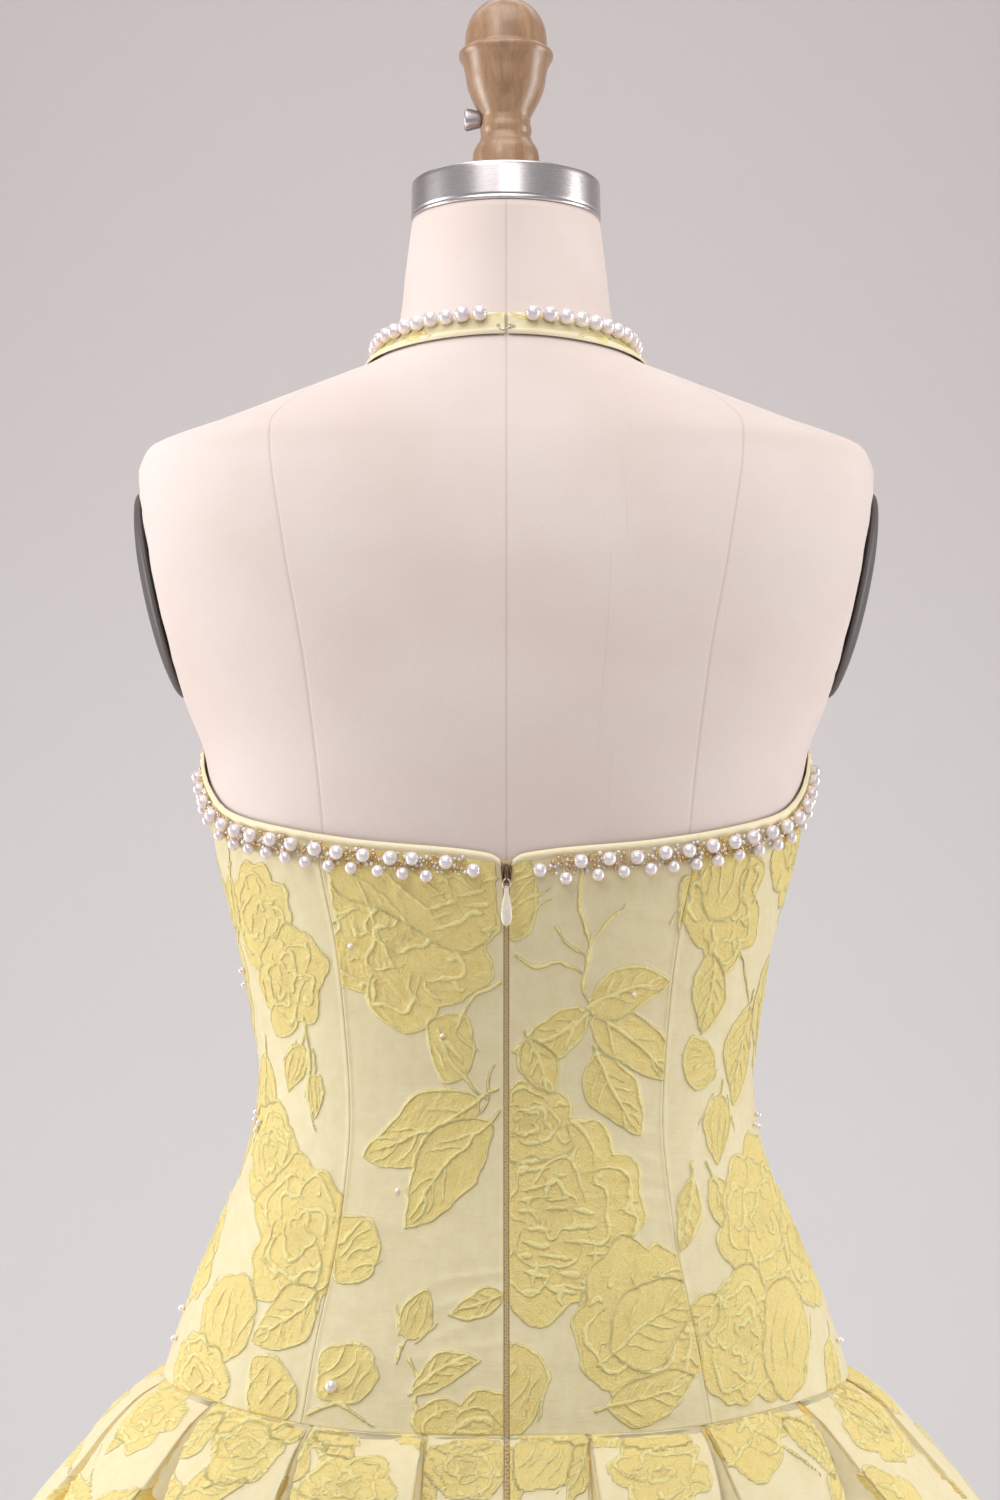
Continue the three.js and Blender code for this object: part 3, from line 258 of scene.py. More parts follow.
class Weave:
    """Fields over a piece: how far inside a motif, how high its corded lines stand, and its crinkle."""

    def __init__(self, u, v, seed):
        self.u0, self.v0 = u, v
        self.u = u + 0.9 * noise(u / 9, v / 9, seed) + 0.35 * noise(u / 3.1, v / 3.1, seed + 1)
        self.v = v + 0.9 * noise(u / 9, v / 9, seed + 2) + 0.35 * noise(u / 3.1, v / 3.1, seed + 3)
        self.inside = np.full(u.shape, -5.0)
        self.cord = np.zeros(u.shape)
        self.crinkle = np.zeros(u.shape)
        self.fold = np.zeros(u.shape + (3,))
        self.cline = np.full(u.shape, -1.5)
        self.ctall = np.zeros(u.shape)
        self.seed = seed
        self.rng = np.random.default_rng(seed)

    def _near(self, pts, pad):
        pts = np.asarray(pts, float)
        lo, hi = pts.min(0) - pad, pts.max(0) + pad
        rows = ((self.u > lo[0]) & (self.u < hi[0]) & (self.v > lo[1]) & (self.v < hi[1]))
        r, c = np.any(rows, axis=1), np.any(rows, axis=0)
        if not r.any():
            return None
        r0, r1 = np.argmax(r), len(r) - np.argmax(r[::-1])
        c0, c1 = np.argmax(c), len(c) - np.argmax(c[::-1])
        return slice(r0, r1), slice(c0, c1)

    def fill(self, pts, angle=0.0, scale=3.0, stretch=3.0, amount=1.0, centre=None):
        near = self._near(pts, 5)
        if near is None:
            return
        u, v = self.u[near], self.v[near]
        d = poly_distance(u, v, pts)
        old = self.inside[near]
        if centre is None:
            c, s = math.cos(angle), math.sin(angle)
            a, b = (u * c + v * s) / (scale * stretch), (-u * s + v * c) / scale
            way = np.stack([a, b, 0 * a], -1)
        else:
            du, dv = u - centre[0], v - centre[1]
            r = np.hypot(du, dv) + 1e-6
            a, b = r / (scale * stretch), np.arctan2(dv, du) * (r + 8) / (scale * 1.25)
            way = np.stack([a, du / (r + 5) * 17 / scale, dv / (r + 5) * 17 / scale], -1)
        k = 0.65 * ridged(a, b, self.seed + 11) + 0.35 * ridged(a * 2.1 + 7, b * 2.1, self.seed + 12)
        self.crinkle[near] = np.where(d > old, np.clip(k, 0, 1) * amount, self.crinkle[near])
        self.fold[near] = np.where((d > old)[..., None], way, self.fold[near])
        # this shape laps whatever lay there
        lap = d > 0
        self.cord[near] = np.where(lap, 0, self.cord[near])
        self.ctall[near] = np.where(lap, 0, self.ctall[near])
        self.cline[near] = np.where(lap, -1.5, self.cline[near])
        self.crinkle[near] = np.where(lap, np.clip(k, 0, 1) * amount, self.crinkle[near])
        self.fold[near] = np.where(lap[..., None], way, self.fold[near])
        self.inside[near] = np.maximum(old, np.minimum(d, 5))

    def line(self, pts, width=0.9, height=1.0, taper=(0.6, 0.35), wobble=0.35):
        """A raised cord; its width and height change along it."""
        pts = np.asarray(pts, float)
        near = self._near(pts, 4 + 2 * width)
        if near is None:
            return
        seg = np.linalg.norm(np.diff(pts, axis=0), axis=1)
        along = np.concatenate([[0], np.cumsum(seg)])
        total = along[-1] + 1e-9
        u, v = self.u[near], self.v[near]
        best, where = np.full(u.shape, 1e9), np.zeros(u.shape)
        for k in range(len(pts) - 1):
            ax, ay = pts[k]
            ex, ey = pts[k + 1] - pts[k]
            wx, wy = u - ax, v - ay
            t = np.clip((wx * ex + wy * ey) / (ex * ex + ey * ey + 1e-12), 0, 1)
            d = (wx - ex * t) ** 2 + (wy - ey * t) ** 2
            hit = d < best
            best = np.where(hit, d, best)
            where = np.where(hit, (along[k] + t * seg[k]) / total, where)
        ends = np.clip(where / 0.22, taper[0], 1) * np.clip((1 - where) / 0.22, taper[1], 1)
        own = where * 0 + self.rng.random() * 90
        live = 1 + wobble * noise(where * total / 4.5, own, self.seed + 21) + 0.16 * noise(where * total / 1.7, own, self.seed + 22)
        w = width * ends * live
        tall = height * (0.6 + 0.4 * ends) * (0.88 + 0.2 * noise(where * total / 2.3, own, self.seed + 23))
        self.cord[near] = np.maximum(self.cord[near], tall * np.exp(-(best / (w * w)) ** 1.35))
        c = np.maximum(1 - np.sqrt(best) / w, -1.5)
        hit = c > self.cline[near]
        self.ctall[near] = np.where(hit, tall, self.ctall[near])
        self.cline[near] = np.where(hit, c, self.cline[near])

    def quiet(self, by):
        """Crush the relief flat where by is 0."""
        self.cord *= by
        self.ctall *= by
        self.crinkle *= by

    # ---- motifs; every outline comes from a rule and a few sizes
    def leaf(self, x, y, angle, length, width, bend=0.15, veins=4, cord=1.0, stem=8.0, full=0.9):
        a = math.radians(angle)
        ca, sa = math.cos(a), math.sin(a)
        t = np.linspace(0, 1, 26)
        skew = 0.5 + 0.5 * np.cos(math.pi * (1 - t))
        w = width / 2 * np.sin(math.pi * t ** 0.82) ** 0.8
        lift = bend * length * (t - t * t) * 4 * 0.5
        jit = 1 + 0.08 * np.sin(t * 9 + self.rng.random() * 6)

        def place(p, q):
            return np.stack([x + p * ca - q * sa, y + p * sa + q * ca], axis=-1)

        left, right = place(t * length, lift + w * jit * (0.85 + 0.3 * skew)), place(t * length, lift - w * (1.1 - 0.25 * skew) * jit)
        outline = np.concatenate([left, right[::-1][1:-1]])
        self.fill(outline, a + 0.55, 2.6, 3.6, full)
        self.line(left, 0.85, 0.95 * cord, (0.8, 0.8))
        self.line(right, 0.85, 0.95 * cord, (0.8, 0.8))
        mid = place(np.linspace(-stem, length * 0.93, 18), np.interp(np.linspace(-stem, length * 0.93, 18), t * length, lift) + 0.5 * np.sin(np.linspace(0, 5, 18)))
        self.line(mid, 1.05, 1.1 * cord, (0.9, 0.4))
        for k in range(veins):
            for s in (1, -1):
                if self.rng.random() < 0.22:
                    continue
                t0 = 0.14 + 0.68 * (k + 0.5 * (s > 0) * 0.6 + 0.15 * self.rng.random()) / veins
                reach = 0.62 + 0.32 * self.rng.random()
                q = np.linspace(0, 1, 7)
                tt = np.clip(t0 + q * (0.2 + 0.06 * self.rng.random()), 0, 0.98)
                ww = np.interp(tt, t, w) * (1 if s > 0 else 0.95)
                vein = place(tt * length, np.interp(tt, t, lift) + s * ww * reach * q ** 0.85)
                self.line(vein, 0.6 + 0.25 * self.rng.random(), 0.75 * cord, (1.0, 0.3))

    def rose(self, x, y, radius, seed=0, turn=0.0, squash=1.0, petals=6, cord=1.0, full=1.0):
        rng = np.random.default_rng(seed * 7 + 5)
        phi = np.linspace(0, 2 * math.pi, 72, endpoint=False)
        starts = turn + np.arange(petals) * 2 * math.pi / petals + 0.25 * (rng.random(petals) - 0.5)
        r = np.full(phi.shape, 0.62)
        size = 0.9 + 0.2 * rng.random(petals)
        for s, k in zip(starts, size):
            d = np.angle(np.exp(1j * (phi - s)))
            r = np.maximum(r, k * np.clip(1 - (np.abs(d) / (math.pi / petals * 1.25)) ** 2.6 * 0.33, 0, 1))
        r = r * (1 + 0.045 * np.sin(phi * 5 + seed) + 0.03 * np.sin(phi * 11 + seed * 2.0))

        def ring(rr, ph):
            return np.stack([x + radius * rr * np.cos(ph), y + radius * rr * np.sin(ph) * squash], axis=-1)

        outline = ring(r, phi)
        self.fill(outline, 0, 2.9, 3.2, full, centre=(x, y))
        self.line(np.concatenate([outline, outline[:1]]), 0.85, 0.8 * cord, (0.9, 0.9))
        # petal edges: each petal has a middle of its own, and its edge waves and breaks
        for level, (base, count) in enumerate(((0.78, petals - 1), (0.52, petals - 2), (0.27, 3))):
            off = turn + level * 0.7 + rng.random()
            for k in range(count):
                if level < 2 and rng.random() < 0.15:
                    continue
                span = 2 * math.pi / count * (0.85 + 0.55 * rng.random())
                p0 = off + k * 2 * math.pi / count
                q = np.linspace(0, 1, 20)
                rr = base * (0.74 + 0.34 * np.sin(math.pi * q) ** 0.8 - 0.14 * q) * (0.9 + 0.2 * rng.random())
                rr = rr + 0.05 * np.sin(q * (9 + 5 * rng.random()) + rng.random() * 6)
                shift = 0.13 * radius * (rng.random(2) - 0.5)
                self.line(ring(rr, p0 + q * span) + shift, 0.85 + 0.5 * rng.random(), (0.8 + 0.35 * rng.random()) * cord, (0.35, 0.25))
        # ruffles that run in from the petals' edges
        n = int(radius * 0.34)
        for k in range(n):
            ph = turn + (k + 0.7 * rng.random()) * 2 * math.pi / n
            r0 = np.interp(ph % (2 * math.pi), phi, r) * (0.9 + 0.08 * rng.random()) if rng.random() < 0.55 else 0.72 * (0.8 + 0.3 * rng.random())
            r1 = r0 * (0.55 + 0.3 * rng.random())
            q2 = np.linspace(0, 1, 9)
            bend = 0.35 * (rng.random() - 0.5)
            self.line(ring(r0 + (r1 - r0) * q2, ph + bend * q2 + 0.05 * np.sin(q2 * 6 + rng.random() * 6)), 0.75 + 0.6 * rng.random(), (0.7 + 0.4 * rng.random()) * cord, (0.45, 0.2))

    def bud(self, x, y, angle, length, width, stem=14.0, cord=1.0):
        a = math.radians(angle)
        ca, sa = math.cos(a), math.sin(a)

        def place(p, q):
            return np.stack([x + p * ca - q * sa, y + p * sa + q * ca], axis=-1)

        t = np.linspace(0, 1, 20)
        w = width / 2 * np.sin(math.pi * t ** 0.7) ** 0.9
        l, r = place(t * length, w), place(t * length, -w)
        self.fill(np.concatenate([l, r[::-1][1:-1]]), a, 2.2, 4, 0.9)
        self.line(l, 0.75, 0.9 * cord, (0.8, 0.8))
        self.line(r, 0.75, 0.9 * cord, (0.8, 0.8))
        for k in (-0.4, 0.1, 0.45):
            self.line(place(t[3:17] * length, w[3:17] * k * 1.3), 0.55, 0.75 * cord, (0.4, 0.3))
        q = np.linspace(0, 1, 10)
        self.line(place(-q * stem, 0.08 * stem * np.sin(q * 3)), 0.95, 1.0 * cord, (0.9, 0.5))
        for s in (1, -1):
            self.line(place(q * length * 0.55, s * (width * 0.28 + width * 0.42 * q ** 0.7)), 0.7, 0.8 * cord, (0.8, 0.25))

    def stem(self, pts, width=1.05, cord=1.0):
        pts = np.asarray(pts, float)
        t = np.linspace(0, len(pts) - 1, 6 * len(pts))
        u = np.interp(t, np.arange(len(pts)), pts[:, 0])
        v = np.interp(t, np.arange(len(pts)), pts[:, 1])
        for _ in range(3):
            u[1:-1], v[1:-1] = (u[:-2] + 2 * u[1:-1] + u[2:]) / 4, (v[:-2] + 2 * v[1:-1] + v[2:]) / 4
        self.line(np.stack([u, v], -1), width, 1.1 * cord, (0.9, 0.55))

    def patch(self, pts, angle=0.0, cords=4, seed=0, cord=1.0, scale=2.8):
        """A ruffled piece of petal cut off by a seam or lapped by another."""
        pts = np.asarray(pts, float)
        rng = np.random.default_rng(seed + 900)
        n = len(pts)
        t = np.linspace(0, n, n * 7, endpoint=False)
        k = t.astype(int)
        f = (t - k)[:, None]
        o = pts[k % n] * (1 - f) + pts[(k + 1) % n] * f
        for _ in range(4):
            o = (np.roll(o, 1, 0) + 2 * o + np.roll(o, -1, 0)) / 4
        a = math.radians(angle)
        self.fill(o, a, scale, 3.4, 1.0)
        self.line(np.concatenate([o, o[:1]]), 0.8, 0.8 * cord, (0.9, 0.9))
        c = o.mean(0)
        size = np.linalg.norm(o - c, axis=1).mean()
        for i in range(cords):
            s = (i + 0.5) / cords * 2 - 1 + 0.2 * (rng.random() - 0.5)
            q = np.linspace(-1, 1, 10) * size * (0.55 + 0.35 * rng.random())
            off = s * size * 0.85 + 0.12 * size * np.sin(q / size * 3 + rng.random() * 6)
            self.line(np.stack([c[0] + q * math.cos(a) - off * math.sin(a), c[1] + q * math.sin(a) + off * math.cos(a)], -1),
                      0.6 + 0.4 * rng.random(), (0.7 + 0.3 * rng.random()) * cord, (0.3, 0.2))

    def puckers(self, lo, hi, pitch, slope, seed, cord=1.0, reach=1.0):
        """Short, near-level cords one above another, as where a petal is gathered."""
        rng = np.random.default_rng(seed + 4000)
        z = lo[1]
        while z < hi[1]:
            x = lo[0] + 3 * rng.random()
            while x < hi[0] - 4:
                end = min(x + (8 + 14 * rng.random()) * reach, hi[0])
                q = np.linspace(0, 1, 9)
                rise, bow = slope + 0.14 * (rng.random() - 0.5), 1.5 * (rng.random() - 0.3)
                self.line(np.stack([x + q * (end - x), z + rise * q * (end - x) + bow * np.sin(math.pi * q)], -1),
                          1.05 + 0.65 * rng.random(), (0.85 + 0.4 * rng.random()) * cord, (0.3, 0.15))
                x = end + 1.5 + 5 * rng.random()
            z += pitch * (0.8 + 0.4 * rng.random())

    def scatter(self, lo, hi, pitch, seed, size=1.0):
        """A loose all-over repeat: roses with leaves, buds and stems between them."""
        rng = np.random.default_rng(seed)
        rows = int((hi[1] - lo[1]) / pitch) + 2
        cols = int((hi[0] - lo[0]) / pitch) + 2
        for r in range(-1, rows):
            for c in range(-1, cols):
                x = lo[0] + (c + 0.5 * (r % 2)) * pitch + (rng.random() - 0.5) * pitch * 0.3
                y = lo[1] + r * pitch * 0.92 + (rng.random() - 0.5) * pitch * 0.3
                kind = (r * 2 + c * 3) % 4
                if kind in (0, 2):
                    rr = pitch * (0.34 + 0.08 * rng.random()) * size
                    self.rose(x, y, rr, int(rng.integers(1000)), rng.random() * 6, 0.85 + 0.25 * rng.random(), int(rng.integers(5, 7)))
                    a0 = rng.random() * 360
                    for k in range(2):
                        a = a0 + k * 150 + 40 * rng.random()
                        self.leaf(x + rr * 0.95 * math.cos(math.radians(a)), y + rr * 0.95 * math.sin(math.radians(a)), a + 35 * (rng.random() - 0.5),
                                  pitch * (0.4 + 0.1 * rng.random()), pitch * (0.17 + 0.05 * rng.random()), 0.25 * (rng.random() - 0.5), 4)
                else:
                    a = rng.random() * 360
                    self.stem([(x - 0.45 * pitch * math.cos(math.radians(a)), y - 0.45 * pitch * math.sin(math.radians(a))),
                               (x + 3 * (rng.random() - 0.5), y), (x + 0.4 * pitch * math.cos(math.radians(a + 30)), y + 0.4 * pitch * math.sin(math.radians(a + 30)))])
                    self.leaf(x, y, a + 60, pitch * 0.42, pitch * 0.18, 0.2, 4)
                    self.leaf(x - 4, y - 6, a - 70, pitch * 0.4, pitch * 0.17, -0.2, 4)
                    self.bud(x + 0.3 * pitch * math.cos(math.radians(a + 180)), y + 0.3 * pitch * math.sin(math.radians(a + 180)), a + 170, pitch * 0.2, pitch * 0.11, 8)

    def height(self, plateau=0.34, cord=0.85, crinkle=0.45):
        k = np.clip((self.inside + 0.2) / 1.2, 0, 1)
        k = k * k * (3 - 2 * k)
        return k * plateau + k * self.crinkle * crinkle + self.cord * cord * (1 - 0.25 * k)


# ------------------------------------------------------------------ meshes
def new_object(name, verts_mm, faces, smooth=True):
    me = bpy.data.meshes.new(name)
    v = np.asarray(verts_mm, np.float64).reshape(-1, 3) * 0.001
    if isinstance(faces, np.ndarray):
        k = faces.shape[1]
        me.vertices.add(len(v))
        me.vertices.foreach_set("co", v.astype(np.float32).ravel())
        me.loops.add(faces.size)
        me.loops.foreach_set("vertex_index", faces.astype(np.int32).ravel())
        me.polygons.add(len(faces))
        me.polygons.foreach_set("loop_start", np.arange(0, faces.size, k, dtype=np.int32))
        me.update(calc_edges=True)
    else:
        me.from_pydata(v.tolist(), [], faces)
    me.validate()
    me.polygons.foreach_set("use_smooth", np.full(len(me.polygons), smooth))
    me.update()
    ob = bpy.data.objects.new(name, me)
    bpy.context.scene.collection.objects.link(ob)
    return ob


def set_attribute(ob, name, values, kind="FLOAT"):
    values = np.asarray(values, np.float32)
    a = ob.data.attributes.new(name, kind, "POINT")
    a.data.foreach_set("vector" if kind == "FLOAT_VECTOR" else "value", values.ravel())


def shell(name, outer, inner, k, flip):
    """A closed sheet: a fine outer grid, a rim, and an inner grid with every k-th row and column."""
    rows, cols = outer.shape[:2]
    ri, ci = np.arange(0, rows, k), np.arange(0, cols, k)
    assert ri[-1] == rows - 1 and ci[-1] == cols - 1, (name, rows, cols, k)
    n = rows * cols
    verts = np.concatenate([outer.reshape(-1, 3), inner[np.ix_(ri, ci)].reshape(-1, 3)])
    idx = np.arange(n).reshape(rows, cols)
    faces = np.stack([idx[:-1, :-1], idx[:-1, 1:], idx[1:, 1:], idx[1:, :-1]], -1).reshape(-1, 4).tolist()
    jn = (np.arange(len(ri) * len(ci)) + n).reshape(len(ri), len(ci))
    faces += np.stack([jn[:-1, :-1], jn[1:, :-1], jn[1:, 1:], jn[:-1, 1:]], -1).reshape(-1, 4).tolist()

    def rim(fine, coarse):
        for m in range(len(coarse) - 1):
            f = fine[m * k:(m + 1) * k + 1]
            faces.append([int(x) for x in f[::-1]] + [int(coarse[m]), int(coarse[m + 1])])

    rim(idx[0], jn[0])
    rim(idx[-1][::-1], jn[-1][::-1])
    rim(idx[:, 0][::-1], jn[:, 0][::-1])
    rim(idx[:, -1], jn[:, -1])
    if flip:
        faces = [f[::-1] for f in faces]
    ob = new_object(name, verts, faces)
    return ob, n, len(verts) - n


def spread_lines(width, fine, edge=(0.0, 0.22, 0.5, 0.95)):
    """Places across a width: close together at both edges, then even; 8 n + 1 of them."""
    e = np.array(edge)
    inner = max(4, int(round((width - 2 * e[-1]) / fine)))
    count = inner + 2 * (len(e) - 1)
    count += (-count) % 8
    inner = count - 2 * (len(e) - 1)
    mid = np.linspace(e[-1], width - e[-1], inner + 1)
    return np.concatenate([e[:-1], mid, width - e[:-1][::-1]]) / width


def finish_piece(ob, material, nodes, body=BODY):
    ob.data.materials.clear()
    ob.data.materials.append(material)
    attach(ob, body)
    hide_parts(*nodes)
    return ob


# ------------------------------------------------------------------ materials
def lin(c):
    return tuple(((x / 255) / 12.92 if x / 255 <= 0.04045 else ((x / 255 + 0.055) / 1.055) ** 2.4) for x in c) + (1.0,)


class Nodes:
    def __init__(self, name):
        self.mat = bpy.data.materials.new(name)
        self.mat.use_nodes = True
        self.t = self.mat.node_tree
        self.bsdf = self.t.nodes["Principled BSDF"]

    def add(self, kind, **values):
        n = self.t.nodes.new(kind)
        for k, v in values.items():
            if k in n.inputs.keys():
                n.inputs[k].default_value = v
            else:
                setattr(n, k, v)
        return n

    def link(self, a, b):
        self.t.links.new(a, b)

    def attribute(self, name):
        return self.add("ShaderNodeAttribute", attribute_name=name)

    def math(self, op, a, b=None, c=None, clamp=False):
        n = self.add("ShaderNodeMath", operation=op, use_clamp=clamp)
        for i, x in enumerate((a, b, c)):
            if x is None:
                continue
            if isinstance(x, (int, float)):
                n.inputs[i].default_value = x
            else:
                self.link(x, n.inputs[i])
        return n.outputs[0]

    def smooth(self, x, lo, hi, a=0.0, b=1.0):
        n = self.add("ShaderNodeMapRange", interpolation_type="SMOOTHSTEP")
        self.link(x, n.inputs["Value"])
        for k, val in (("From Min", lo), ("From Max", hi), ("To Min", a), ("To Max", b)):
            n.inputs[k].default_value = val
        return n.outputs["Result"]

    def mix(self, f, a, b):
        n = self.add("ShaderNodeMix", data_type="RGBA")
        if isinstance(f, (int, float)):
            n.inputs[0].default_value = f
        else:
            self.link(f, n.inputs[0])
        for x, i in ((a, 6), (b, 7)):
            if isinstance(x, tuple):
                n.inputs[i].default_value = x
            else:
                self.link(x, n.inputs[i])
        return n.outputs[2]

    def noise(self, vec, scale, detail=3.0, rough=0.5, distortion=0.0):
        n = self.add("ShaderNodeTexNoise")
        n.inputs["Scale"].default_value = scale
        n.inputs["Detail"].default_value = detail
        n.inputs["Roughness"].default_value = rough
        n.inputs["Distortion"].default_value = distortion
        self.link(vec, n.inputs["Vector"])
        return n.outputs[0]

    def scaled(self, vec, scale):
        n = self.add("ShaderNodeMapping")
        n.inputs["Scale"].default_value = scale
        self.link(vec, n.inputs["Vector"])
        return n.outputs[0]

    def bump(self, height, strength, distance, normal=None):
        n = self.add("ShaderNodeBump")
        n.inputs["Strength"].default_value = strength
        n.inputs["Distance"].default_value = distance
        self.link(height, n.inputs["Height"])
        if normal is not None:
            self.link(normal, n.inputs["Normal"])
        return n.outputs[0]

    def object_mm(self):
        c = self.add("ShaderNodeTexCoord")
        return self.scaled(c.outputs["Object"], (1000, 1000, 1000))


def jacquard(name, ground, ground2, motif, motif2, cord_highlight, slot_shade=None):
    m = Nodes(name)
    # colour of the painted shadow that lies along the cords' edges
    cord_shadow_tone = lin((200, 164, 88))
    pat = m.attribute("pat").outputs["Vector"]
    way = m.attribute("fold").outputs["Vector"]
    inside = m.attribute("inside").outputs["Fac"]
    cline = m.attribute("cline").outputs["Fac"]
    ctall = m.attribute("ctall").outputs["Fac"]
    crk = m.attribute("crinkle").outputs["Fac"]
    edge_noise = m.noise(pat, 1.1, 2.0)
    edged = m.math("ADD", inside, m.math("MULTIPLY", m.math("SUBTRACT", edge_noise, 0.5), 0.9))
    on = m.smooth(edged, -0.15, 0.45)
    lumpy = m.math("ADD", cline, m.math("MULTIPLY", m.math("SUBTRACT", edge_noise, 0.5), 0.5))
    lines = m.math("MULTIPLY", m.smooth(lumpy, 0.0, 0.45), m.smooth(ctall, 0.05, 0.4))
    raised = m.math("MULTIPLY", m.smooth(lumpy, -0.1, 0.75), ctall)
    # painted shadow: a thin darker band just outside each raised cord
    cord_shadow = m.math("MULTIPLY", m.math("MULTIPLY", m.smooth(cline, -0.45, -0.05), m.smooth(cline, -0.05, 0.3, 1.0, 0.0)), m.smooth(ctall, 0.05, 0.5))
    cover = m.math("MAXIMUM", on, lines)
    # satin ground: very fine slanting weave and soft streaks
    streak = m.noise(m.scaled(pat, (0.16, 0.10, 1)), 1.0, 3.0, 0.6)
    weft = m.noise(m.scaled(pat, (3.0, 1.3, 1)), 1.0, 2.0, 0.6)
    gcol = m.mix(m.smooth(streak, 0.3, 0.7), ground, ground2)
    gcol = m.mix(m.smooth(weft, 0.35, 0.75, 0.0, 0.3), gcol, ground2)
    gcol = m.mix(m.smooth(crk, 1.3, 1.8), gcol, lin((252, 240, 204)))  # painted highlight: the plain turned edge is coloured lighter, as where it catches the light
    # crepe of the flowers: small puckers that lie along each petal, and threads
    puck = m.noise(way, 1.4, 3.0, 0.62, 0.25)
    ridge = m.math("SUBTRACT", 1.0, m.math("MULTIPLY", m.math("ABSOLUTE", m.math("SUBTRACT", puck, 0.5)), 5.0), clamp=True)
    crepe = m.smooth(m.noise(pat, 0.95, 3.0, 0.6), 0.38, 0.62)
    fuzz = m.smooth(m.noise(pat, 2.3, 2.0, 0.7), 0.35, 0.65)
    blotch = m.noise(pat, 0.14, 3.0, 0.6)
    mcol = m.mix(fuzz, motif2, motif)
    # painted shade: the motif turns toward the darker motif2 in the crepe's hollows
    mcol = m.mix(m.math("MULTIPLY", m.math("SUBTRACT", 1.0, crepe), 0.75), mcol, motif2)
    mcol = m.mix(m.smooth(blotch, 0.4, 0.7, 0.0, 0.18), mcol, gcol)
    # painted highlight: ridge tops, crinkle peaks and raised cords take the lighter cord colour, as if lit from above
    mcol = m.mix(m.math("MULTIPLY", ridge, 0.45), mcol, cord_highlight)
    mcol = m.mix(m.smooth(crk, 0.45, 0.95, 0.0, 0.3), mcol, cord_highlight)
    mcol = m.mix(m.math("MULTIPLY", lines, 0.85), mcol, cord_highlight)
    col = m.mix(cover, gcol, mcol)
    col = m.mix(m.math("MULTIPLY", cord_shadow, 0.3), col, cord_shadow_tone)
    # painted shade: the pleats' slot walls turn a deeper golden tone with depth, for the shade and bounced light
    # inside them
    if slot_shade is not None:
        deep = m.attribute("slot").outputs["Fac"]
        col = m.mix(m.smooth(deep, 0.0, 0.2, 0.0, 0.95), col, slot_shade)
    m.link(col, m.bsdf.inputs["Base Color"])
    rough = m.math("ADD", m.math("MULTIPLY", cover, 0.24), m.math("MULTIPLY_ADD", weft, 0.12, 0.46))
    m.link(rough, m.bsdf.inputs["Roughness"])
    twill = m.noise(m.scaled(pat, (2.2, 0.75, 1)), 1.0, 3.0, 0.6, 0.4)
    drag = m.noise(m.scaled(pat, (0.10, 0.34, 1)), 1.0, 2.0, 0.55, 0.6)
    woven = m.math("ADD", m.math("MULTIPLY", ridge, 0.32), m.math("ADD", m.math("MULTIPLY", crepe, 0.25), m.math("MULTIPLY", fuzz, 0.10)))
    plain = m.math("ADD", m.math("MULTIPLY", twill, 0.14), m.math("MULTIPLY", drag, 0.3))
    h = m.math("ADD", m.math("MULTIPLY", woven, cover), m.math("MULTIPLY", plain, m.math("SUBTRACT", 1.0, cover)))
    h = m.math("ADD", h, m.math("MULTIPLY", raised, 1.0))
    m.link(m.bump(h, 1.0, 0.00085), m.bsdf.inputs["Normal"])
    b = m.bsdf
    b.inputs["Sheen Weight"].default_value = 0.08
    b.inputs["Sheen Roughness"].default_value = 0.4
    b.inputs["Sheen Tint"].default_value = lin((255, 244, 205))
    b.inputs["Specular IOR Level"].default_value = 0.35
    return m.mat


GROUND, GROUND2 = lin((235, 224, 187)), lin((230, 217, 173))
# the cord colour is a painted highlight for the lit tops of the raised cords
MOTIF, MOTIF2, CORD_HIGHLIGHT = lin((255, 238, 166)), lin((246, 215, 124)), lin((255, 243, 172))
M_JACQUARD = jacquard("jacquard", GROUND, GROUND2, MOTIF, MOTIF2, CORD_HIGHLIGHT)


def weave_attributes(ob, weave, pat, k, m):
    sub = np.ix_(np.arange(0, pat.shape[0], k), np.arange(0, pat.shape[1], k))
    z = np.zeros(m)
    set_attribute(ob, "pat", np.concatenate([pat.reshape(-1, 3), pat[sub].reshape(-1, 3)]), "FLOAT_VECTOR")
    set_attribute(ob, "fold", np.concatenate([weave.fold.reshape(-1, 3), weave.fold[sub].reshape(-1, 3)]), "FLOAT_VECTOR")
    set_attribute(ob, "inside", np.concatenate([weave.inside.ravel(), z - 5]))
    set_attribute(ob, "cline", np.concatenate([weave.cline.ravel(), z - 1.5]))
    set_attribute(ob, "ctall", np.concatenate([weave.ctall.ravel(), z]))
    # crinkle 2 marks the plain turned edges, which the material paints lighter as a highlight
    set_attribute(ob, "crinkle", np.concatenate([np.where(weave.inside == -3.0, 2.0, weave.crinkle).ravel(), z]))


def jacquard_piece(name, grid_fn, inner_fn, u, v, weave, nodes, flip, k=8, extra=None):
    """grid_fn(height) gives the outer points for a height over the cloth's ground, mm."""
    h = weave.height()
    outer = grid_fn(h)
    ob, n, m = shell(name, outer, inner_fn(), k, flip)
    weave_attributes(ob, weave, np.stack([u, v, np.zeros_like(u)], -1), k, m)
    finish_piece(ob, M_JACQUARD, nodes)
    return ob


# ------------------------------------------------------------------ bodice panels
def panel_grid(side, lo, hi, top, width_at, height_at, fine):
    s = spread_lines(width_at, fine)
    t = spread_lines(height_at, fine)
    S, T = np.meshgrid(s, t)
    Z = HIP_Z + T * (top(S) - HIP_Z)
    G = lo(Z) * (1 - S) + hi(Z) * S
    Z = Z + hip_rise(G, Z)
    wid = np.abs(arc(hi(Z), Z) - arc(lo(Z), Z))
    tall = top(S) - HIP_Z
    return S, T, G, Z, wid, tall


def edge_roll(d, r=0.95):
    x = np.clip(1 - d / r, 0, 1)
    return r * (1 - np.sqrt(np.clip(1 - x * x, 0, 1)))


